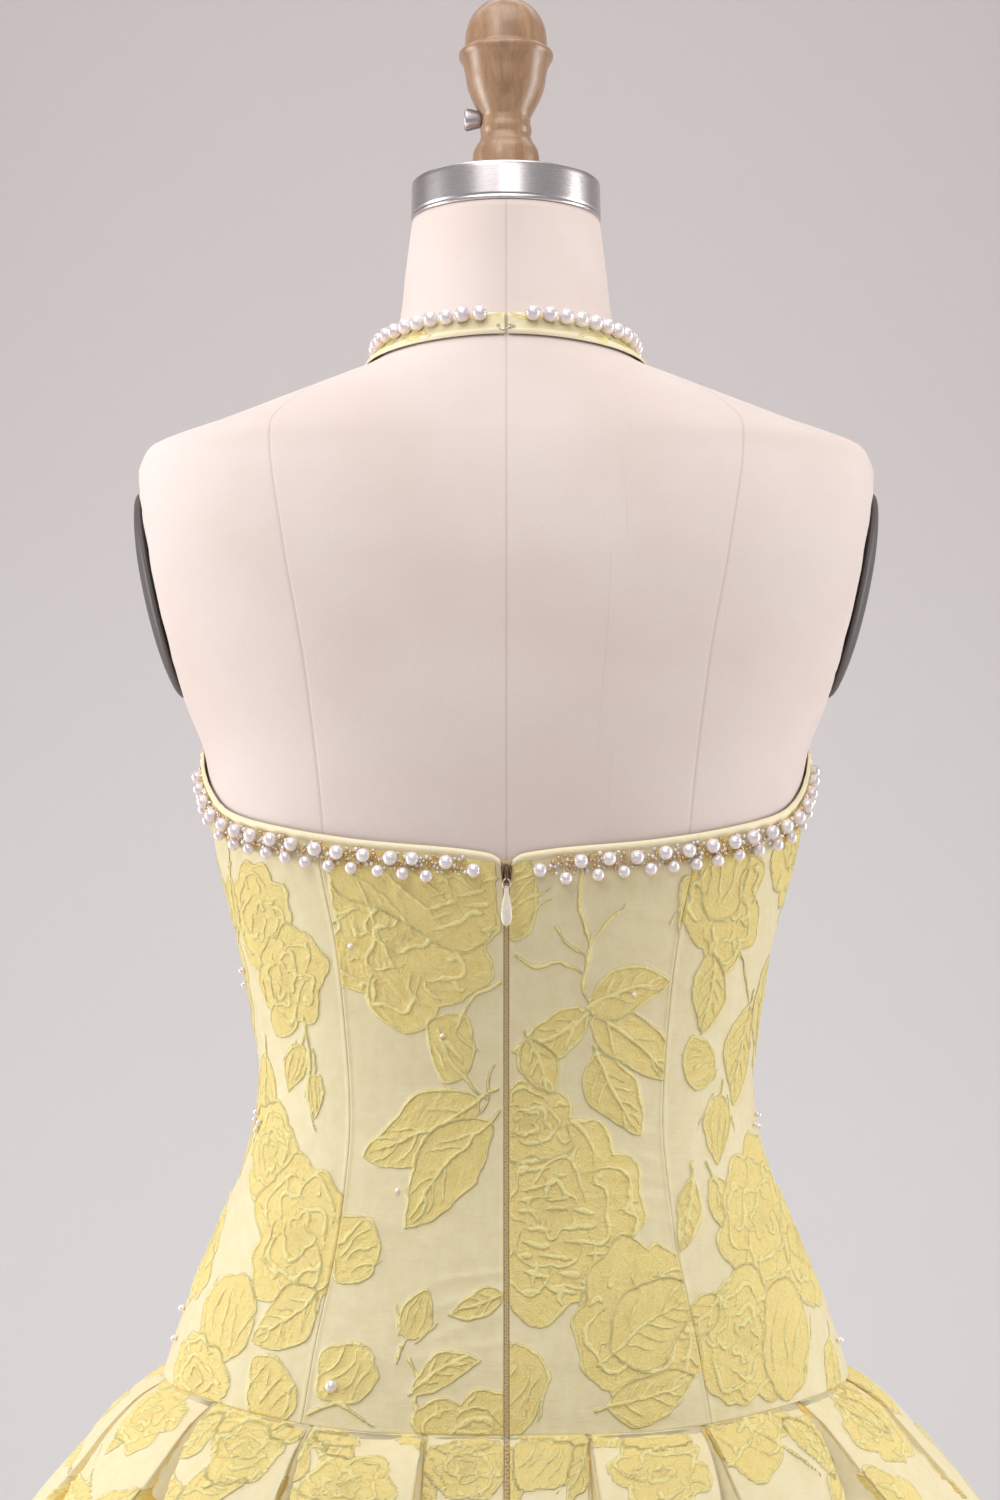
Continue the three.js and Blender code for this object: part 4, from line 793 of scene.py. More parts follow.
def make_panel(name, side, lo, hi, top, width_at, height_at, fine, motifs, seed, slack=None, hem_edge=0.0):
    S, T, G, Z, wid, tall = panel_grid(side, lo, hi, top, width_at, height_at, fine)
    U = side * arc(G, Z)
    weave = Weave(U, Z, seed)
    motifs(weave)
    d_side = np.minimum(S, 1 - S) * wid
    d_top, d_bot = (1 - T) * tall, T * tall
    # the turned edge at the top is plain, and motifs are crushed flat next to the seams
    calm = np.clip(np.minimum(d_side, np.minimum(d_bot, d_top)) / 0.9, 0, 1)
    turned = np.clip((d_top - 3.6) / 1.0, 0, 1)
    weave.quiet(calm * turned)
    if hem_edge:
        weave.inside = np.where(d_top < 4.2, -3.0, weave.inside)

    def outer(h):
        out = FACE - 0.62 + h * calm
        out = out - edge_roll(d_side, 0.34) - edge_roll(d_bot, 0.3) - edge_roll(d_top, 1.2)
        out = out + 0.34 * np.exp(-((d_side - 0.8) / 0.85) ** 2) + 0.2 * np.exp(-((d_bot - 0.9) / 1.0) ** 2)  # allowances pressed behind the seams
        out = out + 0.22 * noise(U / 15, Z / 8, seed + 31) * np.clip(d_side / 8, 0, 1)
        out = out + 0.9 * np.exp(-((d_top - 1.9) / 1.5) ** 4) * hem_edge - 0.35 * np.exp(-((d_top - 4.2) / 0.7) ** 2) * hem_edge
        if slack is not None:
            out = out + slack(U, Z, S, T)
        return at(side, G, Z, out)

    return jacquard_piece(name, outer, lambda: at(side, G, Z, GAP_FORM + 0.15), U, Z, weave, [name],
                          side < 0)


def ripples(items):
    """Soft drag lines: each has a centre, a direction, a length, a spacing and a height, mm."""
    def f(U, Z, S, T):
        out = np.zeros_like(U)
        for (x, z, ang, length, wid, h) in items:
            a = math.radians(ang)
            p = (U - x) * math.cos(a) + (Z - z) * math.sin(a)
            q = -(U - x) * math.sin(a) + (Z - z) * math.cos(a) + 0.06 * p * np.sin(p / 17)
            out += h * np.exp(-(p / length) ** 2 - (q / wid) ** 2)
        return out
    return f


def zip_half(z):
    """Half the opening: narrow, and rounded away at its top."""
    return ZIP_GAP / 2 + 2.7 * np.clip((z - 1148.0) / 13.5, 0, 1) ** 1.8


def zip_g(z):
    return zip_half(z) * per_mm(z, 0.05)


# ---- where the flowers lie, mm round from centre back and height
def flowers_centre_left(w):
    w.rose(-48, 1121, 45, 3, 0.4, 0.98, 6)
    w.patch([(-92, 1172), (-60, 1174), (-30, 1168), (-6, 1166), (-5, 1120), (-24, 1112), (-60, 1136), (-84, 1140)], -55, 6, 4)
    w.patch([(-40, 1082), (-20, 1084), (-15, 1068), (-20, 1052), (-30, 1048), (-36, 1062)], -50, 3, 6)
    w.puckers((-38, 1124), (-3, 1150), 6.2, 0.28, 7, 0.85)
    w.stem([(-3, 1099), (-15, 1094), (-21, 1084), (-24, 1074)], 1.2)
    w.stem([(-33, 1076), (-26, 1058), (-15, 1046), (-9, 1041)], 1.0)
    w.leaf(-13, 1042, 207, 64, 33, 0.10, 4, 1.1, 10)
    w.leaf(-7, 1031, 232, 66, 30, -0.12, 5, 1.1, 6)
    w.stem([(-7, 1059), (-9, 1050), (-8, 1040), (-16, 1032)], 0.8)
    w.patch([(-84, 984), (-64, 984), (-60, 968), (-66, 955), (-84, 952)], 30, 4, 9)
    w.bud(-47, 929, 68, 24, 15, 12)
    w.leaf(-2, 950, 200, 26, 12, 0.1, 3, 1.0, 2)
    w.stem([(-46, 920), (-40, 910), (-44, 900), (-36, 889)], 1.1)
    w.leaf(-44, 905, 25, 34, 14, 0.2, 3, 1.0, 2)
    w.patch([(-90, 924), (-66, 926), (-60, 912), (-70, 898), (-92, 900)], 50, 4, 12)
    w.rose(-16, 884, 27, 8, 1.2, 0.75, 5)
    w.stem([(-96, 893), (-80, 899), (-62, 889)], 0.9)


def flowers_centre_right(w):
    w.stem([(38, 1162), (35, 1138), (40, 1120), (37, 1096), (41, 1086)], 1.25)
    w.stem([(4, 1112), (14, 1106), (26, 1110), (36, 1104)], 1.1)
    w.stem([(40, 1118), (50, 1131), (57, 1137)], 0.9)
    w.stem([(24, 1126), (30, 1116), (38, 1112)], 0.9)
    w.leaf(39, 1084, 208, 40, 20, 0.14, 3, 1.0, 4)
    w.leaf(42, 1083, -40, 52, 26, 0.1, 4, 1.05, 4)
    w.leaf(40, 1086, 18, 42, 22, 0.15, 4, 1.0, 4)
    w.leaf(44, 1064, -62, 46, 24, -0.1, 4, 1.0, 4)
    w.leaf(9, 1072, -70, 34, 17, 0.1, 3, 1.0, 3)
    w.patch([(0, 1170), (12, 1160), (14.5, 1142), (12, 1122), (0, 1118)], 38, 5, 21)
    w.rose(24, 988, 46, 17, 2.2, 1.12, 6)
    w.puckers((2.5, 992), (30, 1036), 5.8, 0.16, 5, 1.0)
    w.puckers((5, 952), (50, 990), 7.6, -0.08, 9, 1.05, 0.8)
    w.rose(10, 1030, 22, 23, 0.4, 0.9, 5)
    w.leaf(38, 953, -62, 34, 20, 0.2, 3, 1.0, 3)
    w.rose(66, 935, 34, 31, 0.9, 1.25, 5)
    w.leaf(50, 921, 32, 52, 36, 0.1, 5, 1.1, 8)
    w.leaf(48, 898, 16, 44, 22, -0.1, 4, 1.0, 6)
    w.patch([(0, 930), (14, 924), (22, 912), (14, 896), (6, 886), (0, 886)], 60, 4, 25)
    w.stem([(50, 896), (62, 890), (74, 893)], 0.9)
    w.patch([(84, 1150), (98, 1152), (96, 1120), (86, 1112)], 80, 3, 27)


def flowers_side_left(w):
    w.rose(-132, 1128, 26, 41, 0.3, 1.1, 5)
    w.rose(-114, 1098, 24, 43, 1.3, 1.15, 6)
    w.bud(-106, 1066, 250, 26, 14, 10)
    w.bud(-98, 1052, 275, 22, 10, 12)
    w.stem([(-104, 1080), (-100, 1060), (-102, 1040), (-96, 1024)], 1.0)
    w.leaf(-156, 1150, 245, 40, 20, 0.1, 3)
    w.leaf(-136, 1060, 262, 48, 22, 0.1, 4)
    w.rose(-128, 1008, 22, 47, 0.2, 1.3, 5)
    w.rose(-104, 972, 30, 45, 0.7, 1.2, 6)
    w.leaf(-92, 948, 215, 44, 24, 0.1, 4)
    w.patch([(-150, 950), (-134, 952), (-126, 938), (-132, 918), (-150, 908), (-166, 914), (-168, 936)], 70, 5, 49)
    w.patch([(-128, 916), (-112, 918), (-100, 900), (-108, 886), (-128, 888)], 60, 5, 51)
    w.rose(-166, 900, 26, 53, 0.4, 0.9, 5)
    w.rose(-190, 960, 26, 54, 0.4, 1.1, 5)
    w.leaf(-168, 1000, 80, 50, 22, 0.1, 4)
    w.rose(-176, 1086, 26, 55, 0.9, 1.2, 6)
    w.leaf(-182, 1150, 280, 46, 22, 0.1, 4)
    w.rose(-196, 1190, 24, 56, 0.4, 1.0, 5)
    w.stem([(-150, 1180), (-156, 1150), (-164, 1120), (-170, 1105)], 1.0)


def flowers_side_right(w):
    w.rose(112, 1138, 27, 61, 0.5, 1.25, 6)
    w.patch([(92, 1168), (110, 1176), (126, 1160), (118, 1130), (98, 1128)], 70, 5, 62)
    w.leaf(104, 1112, 262, 40, 20, 0.1, 4)
    w.patch([(92, 1072), (104, 1068), (110, 1050), (98, 1042), (88, 1052)], 20, 4, 63)
    w.leaf(136, 1084, 255, 52, 24, -0.1, 4)
    w.stem([(120, 1120), (128, 1100), (134, 1084)], 1.0)
    w.bud(112, 1040, 262, 34, 18, 8)
    w.leaf(104, 1000, 292, 40, 17, 0.15, 3)
    w.leaf(92, 1000, 258, 34, 12, 0.1, 3)
    w.rose(138, 978, 30, 67, 0.4, 1.3, 6)
    w.rose(118, 924, 26, 69, 1.4, 1.2, 6)
    w.leaf(104, 944, 215, 30, 16, 0.1, 3)
    w.patch([(132, 946), (152, 950), (164, 930), (158, 902), (140, 892), (128, 912)], 75, 5, 71)
    w.rose(176, 960, 26, 72, 0.3, 1.2, 5)
    w.leaf(186, 915, 250, 34, 18, 0.1, 3)
    w.leaf(150, 1060, 80, 50, 22, 0.1, 4)
    w.rose(176, 1070, 26, 73, 0.6, 1.2, 6)
    w.leaf(182, 1130, 80, 46, 20, 0.1, 4)
    w.rose(168, 1160, 24, 74, 0.9, 1.2, 5)
    w.rose(204, 1188, 22, 75, 0.9, 1.2, 5)


FINE_CENTRE, FINE_SIDE, FINE_FRONT = 0.74, 0.96, 2.4
creases_left = ripples([(-16, 958, 8, 26, 2.2, 0.45), (-18, 948, 14, 30, 2.4, 0.5), (-14, 937, 18, 26, 2.6, 0.5), (-20, 925, 10, 30, 2.4, 0.35), (-34, 970, -28, 24, 2.6, 0.3)])
creases_right = ripples([(62, 1012, -6, 24, 2.4, 0.42), (64, 1003, -8, 26, 2.2, 0.45), (60, 994, -4, 22, 2.4, 0.4), (66, 984, -10, 20, 2.6, 0.35), (70, 1024, -4, 18, 2.6, 0.3)])
for side, hand, fn, sl in ((-1, "left", flowers_centre_left, creases_left), (1, "right", flowers_centre_right, creases_right)):
    make_panel("center_back_" + hand, side, zip_g, lambda z: back_line(z) - HALF_SEAM * per_mm(z, back_line(z)), top_centre_back, 92, 280, FINE_CENTRE,
               fn, 100 + side, sl, 1.0)
for side, hand, fn in ((-1, "left", flowers_side_left), (1, "right", flowers_side_right)):
    make_panel("side_back_" + hand, side, lambda z: back_line(z) + HALF_SEAM * per_mm(z, back_line(z)), lambda z: 1 - HALF_SEAM * per_mm(z, 0.95) + 0 * z, top_side_back,
               105, 300, FINE_SIDE, fn, 200 + side, None, 1.0)

for side, hand in ((-1, "left"), (1, "right")):
    def flowers(w, s=side):
        w.scatter((min(s * 180, s * 460), 880), (max(s * 180, s * 460), 1290), 92, 300 + s)
    make_panel("side_front_" + hand, side, lambda z: front_line(np.minimum(z, 1272)) - HALF_SEAM * per_mm(z, 1.5), lambda z: 1 + HALF_SEAM * per_mm(z, 1.05), top_side_front,
               120, 350, FINE_FRONT, flowers, 310 + side, None, 1.0)


def make_centre_front(side, hand):
    s = spread_lines(70, 1.3)
    t = spread_lines(498, 1.5)
    S, T = np.meshgrid(s, t)
    Z = HIP_Z + T * (BAND_JOIN_Z - 0.2 - HIP_Z)
    lo, hi = neck_edge(Z), front_line(Z) + HALF_SEAM * per_mm(Z, 1.5)
    G = lo * (1 - S) + hi * S
    Z = Z + hip_rise(G, Z)
    wid = np.abs(arc(hi, Z) - arc(lo, Z))
    U = side * arc(G, Z)
    weave = Weave(U, Z, 400 + side)
    weave.scatter((min(side * 300, side * 470), 884), (max(side * 300, side * 470), 1400), 88, 410 + side)
    d_in, d_out = S * wid, (1 - S) * wid
    open_in, open_out = (Z > 1231), (Z > 1271)
    calm = np.clip(np.minimum(np.minimum(d_in, d_out), T * 499) / 1.4, 0, 1)
    bound = np.where(open_in, np.clip((d_in - 3.2), 0, 1), 1) * np.where(open_out, np.clip((d_out - 3.2), 0, 1), 1)
    weave.quiet(calm * bound)
    weave.inside = np.where((open_in & (d_in < 3.6)) | (open_out & (d_out < 3.6)), 2.0, weave.inside)

    def outer(h):
        out = FACE - 0.62 + h * calm * bound - edge_roll(d_in, 0.5) - edge_roll(d_out, 0.34)
        out = out + np.where(open_in, 0.6 * np.exp(-((d_in - 1.8) / 1.4) ** 4), 0) + np.where(open_out, 0.6 * np.exp(-((d_out - 1.8) / 1.4) ** 4), 0)
        return at(side, G, Z, out)

    return jacquard_piece("center_front_" + hand, outer, lambda: at(side, G, Z, GAP_FORM + 0.15), U, Z, weave, ["center_front_" + hand],
                          side < 0)


for side, hand in ((-1, "left"), (1, "right")):
    make_centre_front(side, hand)

# ------------------------------------------------------------------ halter band
BAND = [  # zin, xin or gin, zout, xout or gout
    (1385, "x", 61.5, 1385, "x", 84.5), (1395, "x", 61.6, 1393, "x", 80.5), (1404, "x", 60.2, 1399.5, "x", 77.2), (1411.5, "x", 57.6, 1404.5, "x", 74.4),
    (1416.6, "g", 1.33, 1407.4, "g", 1.25), (1420.4, "g", 1.16, 1409.6, "g", 1.12), (1422.2, "g", 1, 1411.1, "g", 1), (1423.4, "g", 0.86, 1412.2, "g", 0.86),
    (1424.8, "g", 0.7, 1413.4, "g", 0.7), (1426.2, "g", 0.54, 1414.7, "g", 0.54), (1427.6, "g", 0.38, 1415.9, "g", 0.38), (1428.8, "g", 0.22, 1416.9, "g", 0.22),
    (1429.3, "g", 0.1, 1417.4, "g", 0.1), (1429.6, "g", 0.008, 1417.6, "g", 0.008)]
_rows = []
for i, (zi, ki, vi, zo, ko, vo) in enumerate(BAND):
    gi = float(g_of(np.array(vi), np.array(zi, float), True)) if ki == "x" else vi
    go = float(g_of(np.array(vo), np.array(zo, float), True)) if ko == "x" else vo
    _rows.append((i, zi + (0 if i else 0.2), zo + (0 if i else 0.2), gi, go))
_rows = np.array(_rows, float)
B = {k: Curve(_rows[:, 0], _rows[:, j + 1]) for j, k in enumerate(("zin", "zout", "gin", "gout"))}
BAND_END = len(BAND) - 1


def band_gz(t, w):
    return B["gin"](t) * (1 - w) + B["gout"](t) * w, B["zin"](t) * (1 - w) + B["zout"](t) * w


for side, hand in ((-1, "left"), (1, "right")):
    t = np.linspace(0, BAND_END, 241)
    w = np.array([0, 0.025, 0.06, 0.12, 0.2, 0.28, 0.36, 0.44, 0.52, 0.6, 0.68, 0.76, 0.84, 0.9, 0.95, 0.98, 1.0])
    W, Tm = np.meshgrid(w, t)
    G, Z = band_gz(Tm, W)
    run = np.interp(Tm, np.linspace(0, BAND_END, 400), np.concatenate([[0], np.cumsum(np.linalg.norm(np.diff(at(1, *band_gz(np.linspace(0, BAND_END, 400), 0.5), 0), axis=0), axis=1))]))
    bw = np.interp(Tm, [0, 3, 6, BAND_END], [23, 15, 11.5, 11.7])
    U, V = run, W * bw
    weave = Weave(U, V, 500 + side)
    for k in range(7):
        weave.leaf(8 + 34 * k, 2 + 6 * (k % 2), (20, -25, 8)[k % 3], 24, 9, 0.1, 2, 0.7, 6)
    d_in, d_out, d_end = W * bw, (1 - W) * bw, (BAND_END - Tm) * 6.0
    calm = np.clip(np.minimum(np.minimum(d_in, d_out) / 1.6, d_end / 1.4), 0, 1)
    weave.quiet(calm)
    weave.inside = np.where(np.minimum(d_in, d_out) < 2.4, -3.0, weave.inside)

    def outer(h, G=G, Z=Z, calm=calm, d_in=d_in, d_out=d_out, side=side, run=run):
        out = FACE - 0.4 + 0.6 * h * calm - edge_roll(d_in, 1.3) - edge_roll(d_out, 1.3)
        out = out + 0.45 * np.exp(-((d_out - 1.9) / 1.3) ** 4) + 0.14 * np.sin(run / 3.3 + side) * np.exp(-((d_out - 3.5) / 2.5) ** 2)
        return at(side, G, Z, out)

    jacquard_piece("halter_band_" + hand, outer, lambda G=G, Z=Z, side=side: at(side, G, Z, GAP_FORM + 0.15), U, V, weave, ["halter_band_" + hand],
                   side < 0)

# ------------------------------------------------------------------ pleated skirt
RING_B, RING_F = float(np.interp(HIP_Z, ZS, LEN[0])), float(np.interp(HIP_Z, ZS, LEN[1]))
HALF_ROUND = RING_B + RING_F
PLEAT = (HALF_ROUND - CENTRE_HALF) / LOBES
_s = np.linspace(0, HALF_ROUND, 500)
_g = np.where(_s < RING_B, _s / RING_B, 1 + (_s - RING_B) / RING_F)
_hip = np.full_like(_g, HIP_Z)
_rp = at(1, _g, _hip, FACE)
_rn = normal(_g, _hip) * np.array([1, 1, 0])
_rn = unit(_rn)


def skirt_at(side, s, z, drop):
    g = np.where(s < RING_B, s / RING_B, 1 + (s - RING_B) / RING_F)
    px, py = np.interp(s, _s, _rp[:, 0]), np.interp(s, _s, _rp[:, 1])
    nx, ny = np.interp(s, _s, _rn[:, 0]), np.interp(s, _s, _rn[:, 1])
    f = np.clip((g - 0.8) / 1.0, 0, 1)
    up = hip_rise(g, z)
    flare = K["flare"](z) * (1 + (FRONT_FLARE - 1) * f * f * (3 - 2 * f)) - drop - 0.29 * up
    return np.stack([side * (px + nx * flare), py + ny * flare, np.broadcast_to(z + up, px.shape)], -1)


WALL_T = np.array([0, 0.03, 0.08, 0.16, 0.28, 0.45, 0.65, 0.83, 1.0])
SKIRT_Z = np.concatenate([[886.9, 886.3, 885.5, 884.5, 883.5], np.linspace(882.5, 858, 33), np.linspace(856.6, 822, 22), np.linspace(818.8, 561, 84), [560.0]])
SLOT_WIDE = {-1: [0.8, 1.0, 1.6, 1.3, 1.1], 1: [0.8, 1.3, 2.2, 1.7, 1.2]}  # how wide the slots stand, one after another from centre back


def fold(t, a, b):
    """Way in from a pleat's edge at t 0 to the bottom of its slot at t 1."""
    return a + (b - a) * np.sin(np.clip(t, 0, 1) * math.pi / 2) ** 0.85


def skirt_columns(first, last, centre, side=0, face=40):
    """A list of columns; each gives, for a level, the place round the ring and the drop below the pleat's face, and marks."""
    cols = []

    def slit(z, k):
        wide_by = SLOT_WIDE[side][k] if side and k < 5 else 1.0
        opens = 1 + 1.2 * np.clip((884 - z) / 55, 0, 1) ** 1.2 * np.clip((z - 640) / 140, 0, 1) if side else 1.0
        return K["slit"](z) * PLEAT / 2 * wide_by * opens

    def add(s_of, drop_of, tag, u_of):
        cols.append((s_of, drop_of, tag, u_of))

    if centre:
        for t in np.linspace(0, 1, 33):
            def s_of(z, t=t):
                lo = np.where(z > ZIP_END - 20, ZIP_GAP / 2, HALF_SEAM)
                return lo + t * (CENTRE_HALF - slit(z, 0) - lo)
            add(s_of, lambda z, t=t: K["recess"](z) + 0.5 * K["edge"](z) * np.clip((t - 0.75) / 0.25, 0, 1) ** 2, 0.0, lambda z, t=t: t * 44.0)
        for t in WALL_T[1:]:
            add(lambda z, t=t: CENTRE_HALF - slit(z, 0) * (1 - t), lambda z, t=t: fold(t, K["recess"](z) + 0.5 * K["edge"](z), K["depth"](z)), t, lambda z, t=t: 44.0 + 9 * t)
    for k in range(first, last + 1):
        s0 = CENTRE_HALF + k * PLEAT
        if s0 > HALF_ROUND - 1:
            break
        if k == last:
            break
        mid = 110.0 + 140.0 * k
        start = 0 if (k == first and not centre) else 1
        for t in WALL_T[::-1][start:]:
            gap = HALF_SEAM if (k == first and not centre) else 0.0
            add(lambda z, t=t, s0=s0, gap=gap, k=k: s0 + gap + (slit(z, k) - gap) * (1 - t), lambda z, t=t: fold(t, K["edge"](z), K["depth"](z)), t,
                lambda z, t=t, mid=mid: mid - 40 - 20 * t)
        stop = HALF_ROUND if s0 + PLEAT > HALF_ROUND + 1 else None
        n = 16 if stop is not None else face
        for t in np.linspace(0, 1, n + 1)[1:]:
            def s_of(z, t=t, s0=s0, stop=stop, k=k):
                a = s0 + slit(z, k)
                b = stop if stop is not None else s0 + PLEAT - slit(z, k + 1)
                return a + t * (b - a)
            def drop_of(z, t=t, half=stop is not None):
                q = t * 0.5 if half else t
                e = np.clip(1 - np.minimum(q, 1 - q) / 0.34, 0, 1)
                return K["edge"](z) * e ** 2.2
            def u_of(z, t=t, s0=s0, mid=mid, half=stop is not None, k=k):
                q = t * 0.5 if half else t
                grow = 1 + K["flare"](z) / 165.0
                return mid + (q - 0.5) * (PLEAT - slit(z, k) - slit(z, k + 1)) * grow
            add(s_of, drop_of, 0.0, u_of)
        if stop is None:
            for t in WALL_T[1:]:
                gap = HALF_SEAM if k + 1 == last else 0.0
                add(lambda z, t=t, s0=s0, gap=gap, k=k: s0 + PLEAT - gap - (slit(z, k + 1) - gap) * (1 - t), lambda z, t=t: fold(t, K["edge"](z), K["depth"](z)), t,
                    lambda z, t=t, mid=mid: mid + 40 + 20 * t)
    return cols


def grid_normals(p):
    du = np.empty_like(p)
    dv = np.empty_like(p)
    du[:, 1:-1], du[:, 0], du[:, -1] = p[:, 2:] - p[:, :-2], p[:, 1] - p[:, 0], p[:, -1] - p[:, -2]
    dv[1:-1], dv[0], dv[-1] = p[2:] - p[:-2], p[1] - p[0], p[-1] - p[-2]
    return unit(np.cross(du, dv))


SLANT = np.concatenate([[0], np.cumsum(np.hypot(np.diff(SKIRT_Z), np.diff(K["flare"](SKIRT_Z))))])


def skirt_side_points(side, cols):
    Z = SKIRT_Z[:, None] + np.zeros(len(cols))
    S = np.stack([c[0](SKIRT_Z) + 0 * SKIRT_Z for c in cols], 1)
    D = np.stack([c[1](SKIRT_Z) + 0 * SKIRT_Z for c in cols], 1)
    Wt = np.array([c[2] for c in cols])[None, :] + 0 * Z
    U = np.stack([c[3](SKIRT_Z) + 0 * SKIRT_Z for c in cols], 1)
    return S, Z, D, Wt, U


def soften(S, Z, D, Wt, side):
    """Uneven swell and sag of the pleats, growing away from the seam."""
    below = np.clip((885 - Z) / 200, 0, 1)
    k = np.floor((S - CENTRE_HALF) / PLEAT)
    q = (S - CENTRE_HALF) / PLEAT - k
    lean = 2.4 * noise(k * 3.7 + 11 * side, Z / 160, 71) * below * (1 - Wt)
    swell = 3.4 * noise(S / 31 + 5 * side, Z / 110, 73) * below * (1 - Wt) ** 0.5
    soft = 1.1 * noise(S / 11 + 3 * side, Z / 55, 77) * below * (1 - Wt) ** 0.5
    near = 0.55 * noise(S / 9 + 3 * side, Z / 16, 79) * np.clip((884 - Z) / 12, 0, 1) * (1 - Wt)
    return D - swell - soft - near - lean * (q - 0.5)


def skirt_piece(name, S, Z, D, Wt, U, sides, seed, layout, nodes):
    weave = Weave(U, np.broadcast_to(SLANT[:, None] * -1.0, U.shape).copy(), seed)
    layout(weave)
    top = SLANT[:, None] + 0 * U
    bottom = SLANT[-1] - top
    calm = np.clip(top / 2.0, 0, 1) * np.clip(1 - Wt * 1.6, 0, 1) * np.clip((bottom - 2) / 3, 0, 1)
    weave.quiet(calm)
    h = weave.height() * calm
    p = skirt_at(1.0, S, Z, D + 1.5 * np.exp(-(top / 2.1) ** 2))
    p[..., 0] *= sides
    n = grid_normals(p)
    out = np.stack([p[..., 0], p[..., 1], 0 * p[..., 0]], -1)
    if (n * out).sum() < 0:
        n = -n
        flip = True
    else:
        flip = False
    roll = edge_roll(top, 0.3) + edge_roll(bottom, 0.9)
    outer = p + n * (h - 0.45 - roll)[..., None]
    inner = p - n * (SKIRT_CLOTH - 0.2)
    ob, nn, m = shell(name, outer, inner, 8, flip)
    weave_attributes(ob, weave, np.stack([U, -SLANT[:, None] + 0 * U, 0 * U], -1), 8, m)
    # the walls' depth into each slot, which the skirt material uses for its painted shade
    set_attribute(ob, "slot", np.concatenate([Wt.ravel(), np.zeros(m)]))
    finish_piece(ob, M_SKIRT, nodes)
    return ob


SKIRT_CLOTH = 1.4
# the last colour is the painted shade inside the pleats' slots
M_SKIRT = jacquard("skirt_jacquard", lin((238, 227, 190)), lin((234, 220, 176)), MOTIF, MOTIF2, CORD_HIGHLIGHT, lin((244, 208, 112)))


def skirt_flowers(w, s):
    w.scatter((min(0, s * 470), -400), (max(0, s * 470), -34), 90, 620 + s)
    if s < 0:
        w.rose(-20, -22, 25, 91, 0.4, 0.8, 5)
        w.leaf(-6, -4, 190, 34, 13, 0.1, 3, 1.0, 3)
        w.rose(-112, -34, 24, 92, 1.1, 0.8, 6)
        w.patch([(-134, -3), (-116, -2), (-110, -9), (-124, -12), (-134, -9)], 10, 3, 93)
        w.leaf(-138, -10, 250, 30, 14, 0.1, 3)
        w.rose(-246, -22, 20, 94, 0.6, 0.9, 5)
        w.leaf(-268, -6, 240, 34, 15, 0.1, 4)
        w.patch([(-236, -2), (-220, -3), (-224, -14), (-238, -12)], 60, 3, 95)
        w.rose(-392, -18, 22, 96, 0.3, 0.9, 5)
    else:
        w.patch([(2, -3), (34, -3), (40, -16), (28, -34), (2, -36)], 62, 5, 97)
        w.leaf(44, -6, 250, 36, 15, 0.1, 4)
        w.rose(112, -26, 24, 98, 0.9, 0.85, 6)
        w.patch([(98, -2), (128, -2), (132, -10), (112, -12), (96, -8)], 20, 4, 99)
        w.leaf(262, -6, 290, 40, 13, 0.1, 4)
        w.stem([(240, -1), (246, -12), (258, -26), (268, -40)], 1.2)
        w.rose(396, -24, 24, 101, 0.2, 0.9, 6)
        w.leaf(384, -4, 300, 32, 14, 0.1, 3)


for side, hand in ((-1, "left"), (1, "right")):
    S, Z, D, Wt, U = skirt_side_points(side, skirt_columns(0, 3, True, side, 40))
    D = soften(S, Z, D, Wt, side)
    skirt_piece("skirt_back_" + hand, S, Z, D, Wt, side * U, side, 600 + side,
                lambda w, s=side: skirt_flowers(w, s), ["skirt_back_" + hand])
    S, Z, D, Wt, U = skirt_side_points(side, skirt_columns(3, 5, False, side, 32))
    D = soften(S, Z, D, Wt, side)
    skirt_piece("skirt_side_" + hand, S, Z, D, Wt, side * U, side, 640 + side,
                lambda w, s=side: w.scatter((min(s * 460, s * 760), -400), (max(s * 460, s * 760), 8), 90, 660 + s), ["skirt_side_" + hand])
S1, Z1, D1, W1, U1 = skirt_side_points(1, skirt_columns(5, 99, False, 0, 20))
D1r, D1l = soften(S1, Z1, D1, W1, 1), soften(S1, Z1, D1, W1, -1)
mid = 0.5 * (D1r[:, -1:] + D1l[:, -1:])
ease = np.clip((S1 - (HALF_ROUND - 20)) / 20, 0, 1)
D1r, D1l = D1r * (1 - ease) + mid * ease, D1l * (1 - ease) + mid * ease
S = np.concatenate([S1, S1[:, ::-1][:, 1:]], 1)
Z = np.concatenate([Z1, Z1[:, 1:]], 1)
D = np.concatenate([D1r, D1l[:, ::-1][:, 1:]], 1)
Wt = np.concatenate([W1, W1[:, ::-1][:, 1:]], 1)
U = np.concatenate([U1, 2 * U1[:, -1:] - U1[:, ::-1][:, 1:]], 1)
sides = np.concatenate([np.ones(S1.shape[1]), -np.ones(S1.shape[1] - 1)])[None, :]
skirt_piece("skirt_front", S, Z, D, Wt, U, sides, 680, lambda w: w.scatter((740, -400), (1520, 8), 90, 690), ["skirt_front"])

# ------------------------------------------------------------------ small solids, joined from many copies
def ball(nu, nv):
    """Unit sphere, poles on z."""
    th = np.linspace(0, 2 * math.pi, nu, endpoint=False)
    ph = np.linspace(0, math.pi, nv + 1)[1:-1]
    v = [(0, 0, 1)] + [(math.sin(p) * math.cos(t), math.sin(p) * math.sin(t), math.cos(p)) for p in ph for t in th] + [(0, 0, -1)]
    f = [(0, 1 + i, 1 + (i + 1) % nu) for i in range(nu)]
    for r in range(nv - 2):
        for i in range(nu):
            a, b = 1 + r * nu + i, 1 + r * nu + (i + 1) % nu
            f.append((a, a + nu, b))
            f.append((b, a + nu, b + nu))
    last = len(v) - 1
    base = 1 + (nv - 2) * nu
    f += [(last, base + (i + 1) % nu, base + i) for i in range(nu)]
    return np.array(v, float), np.array(f, int)


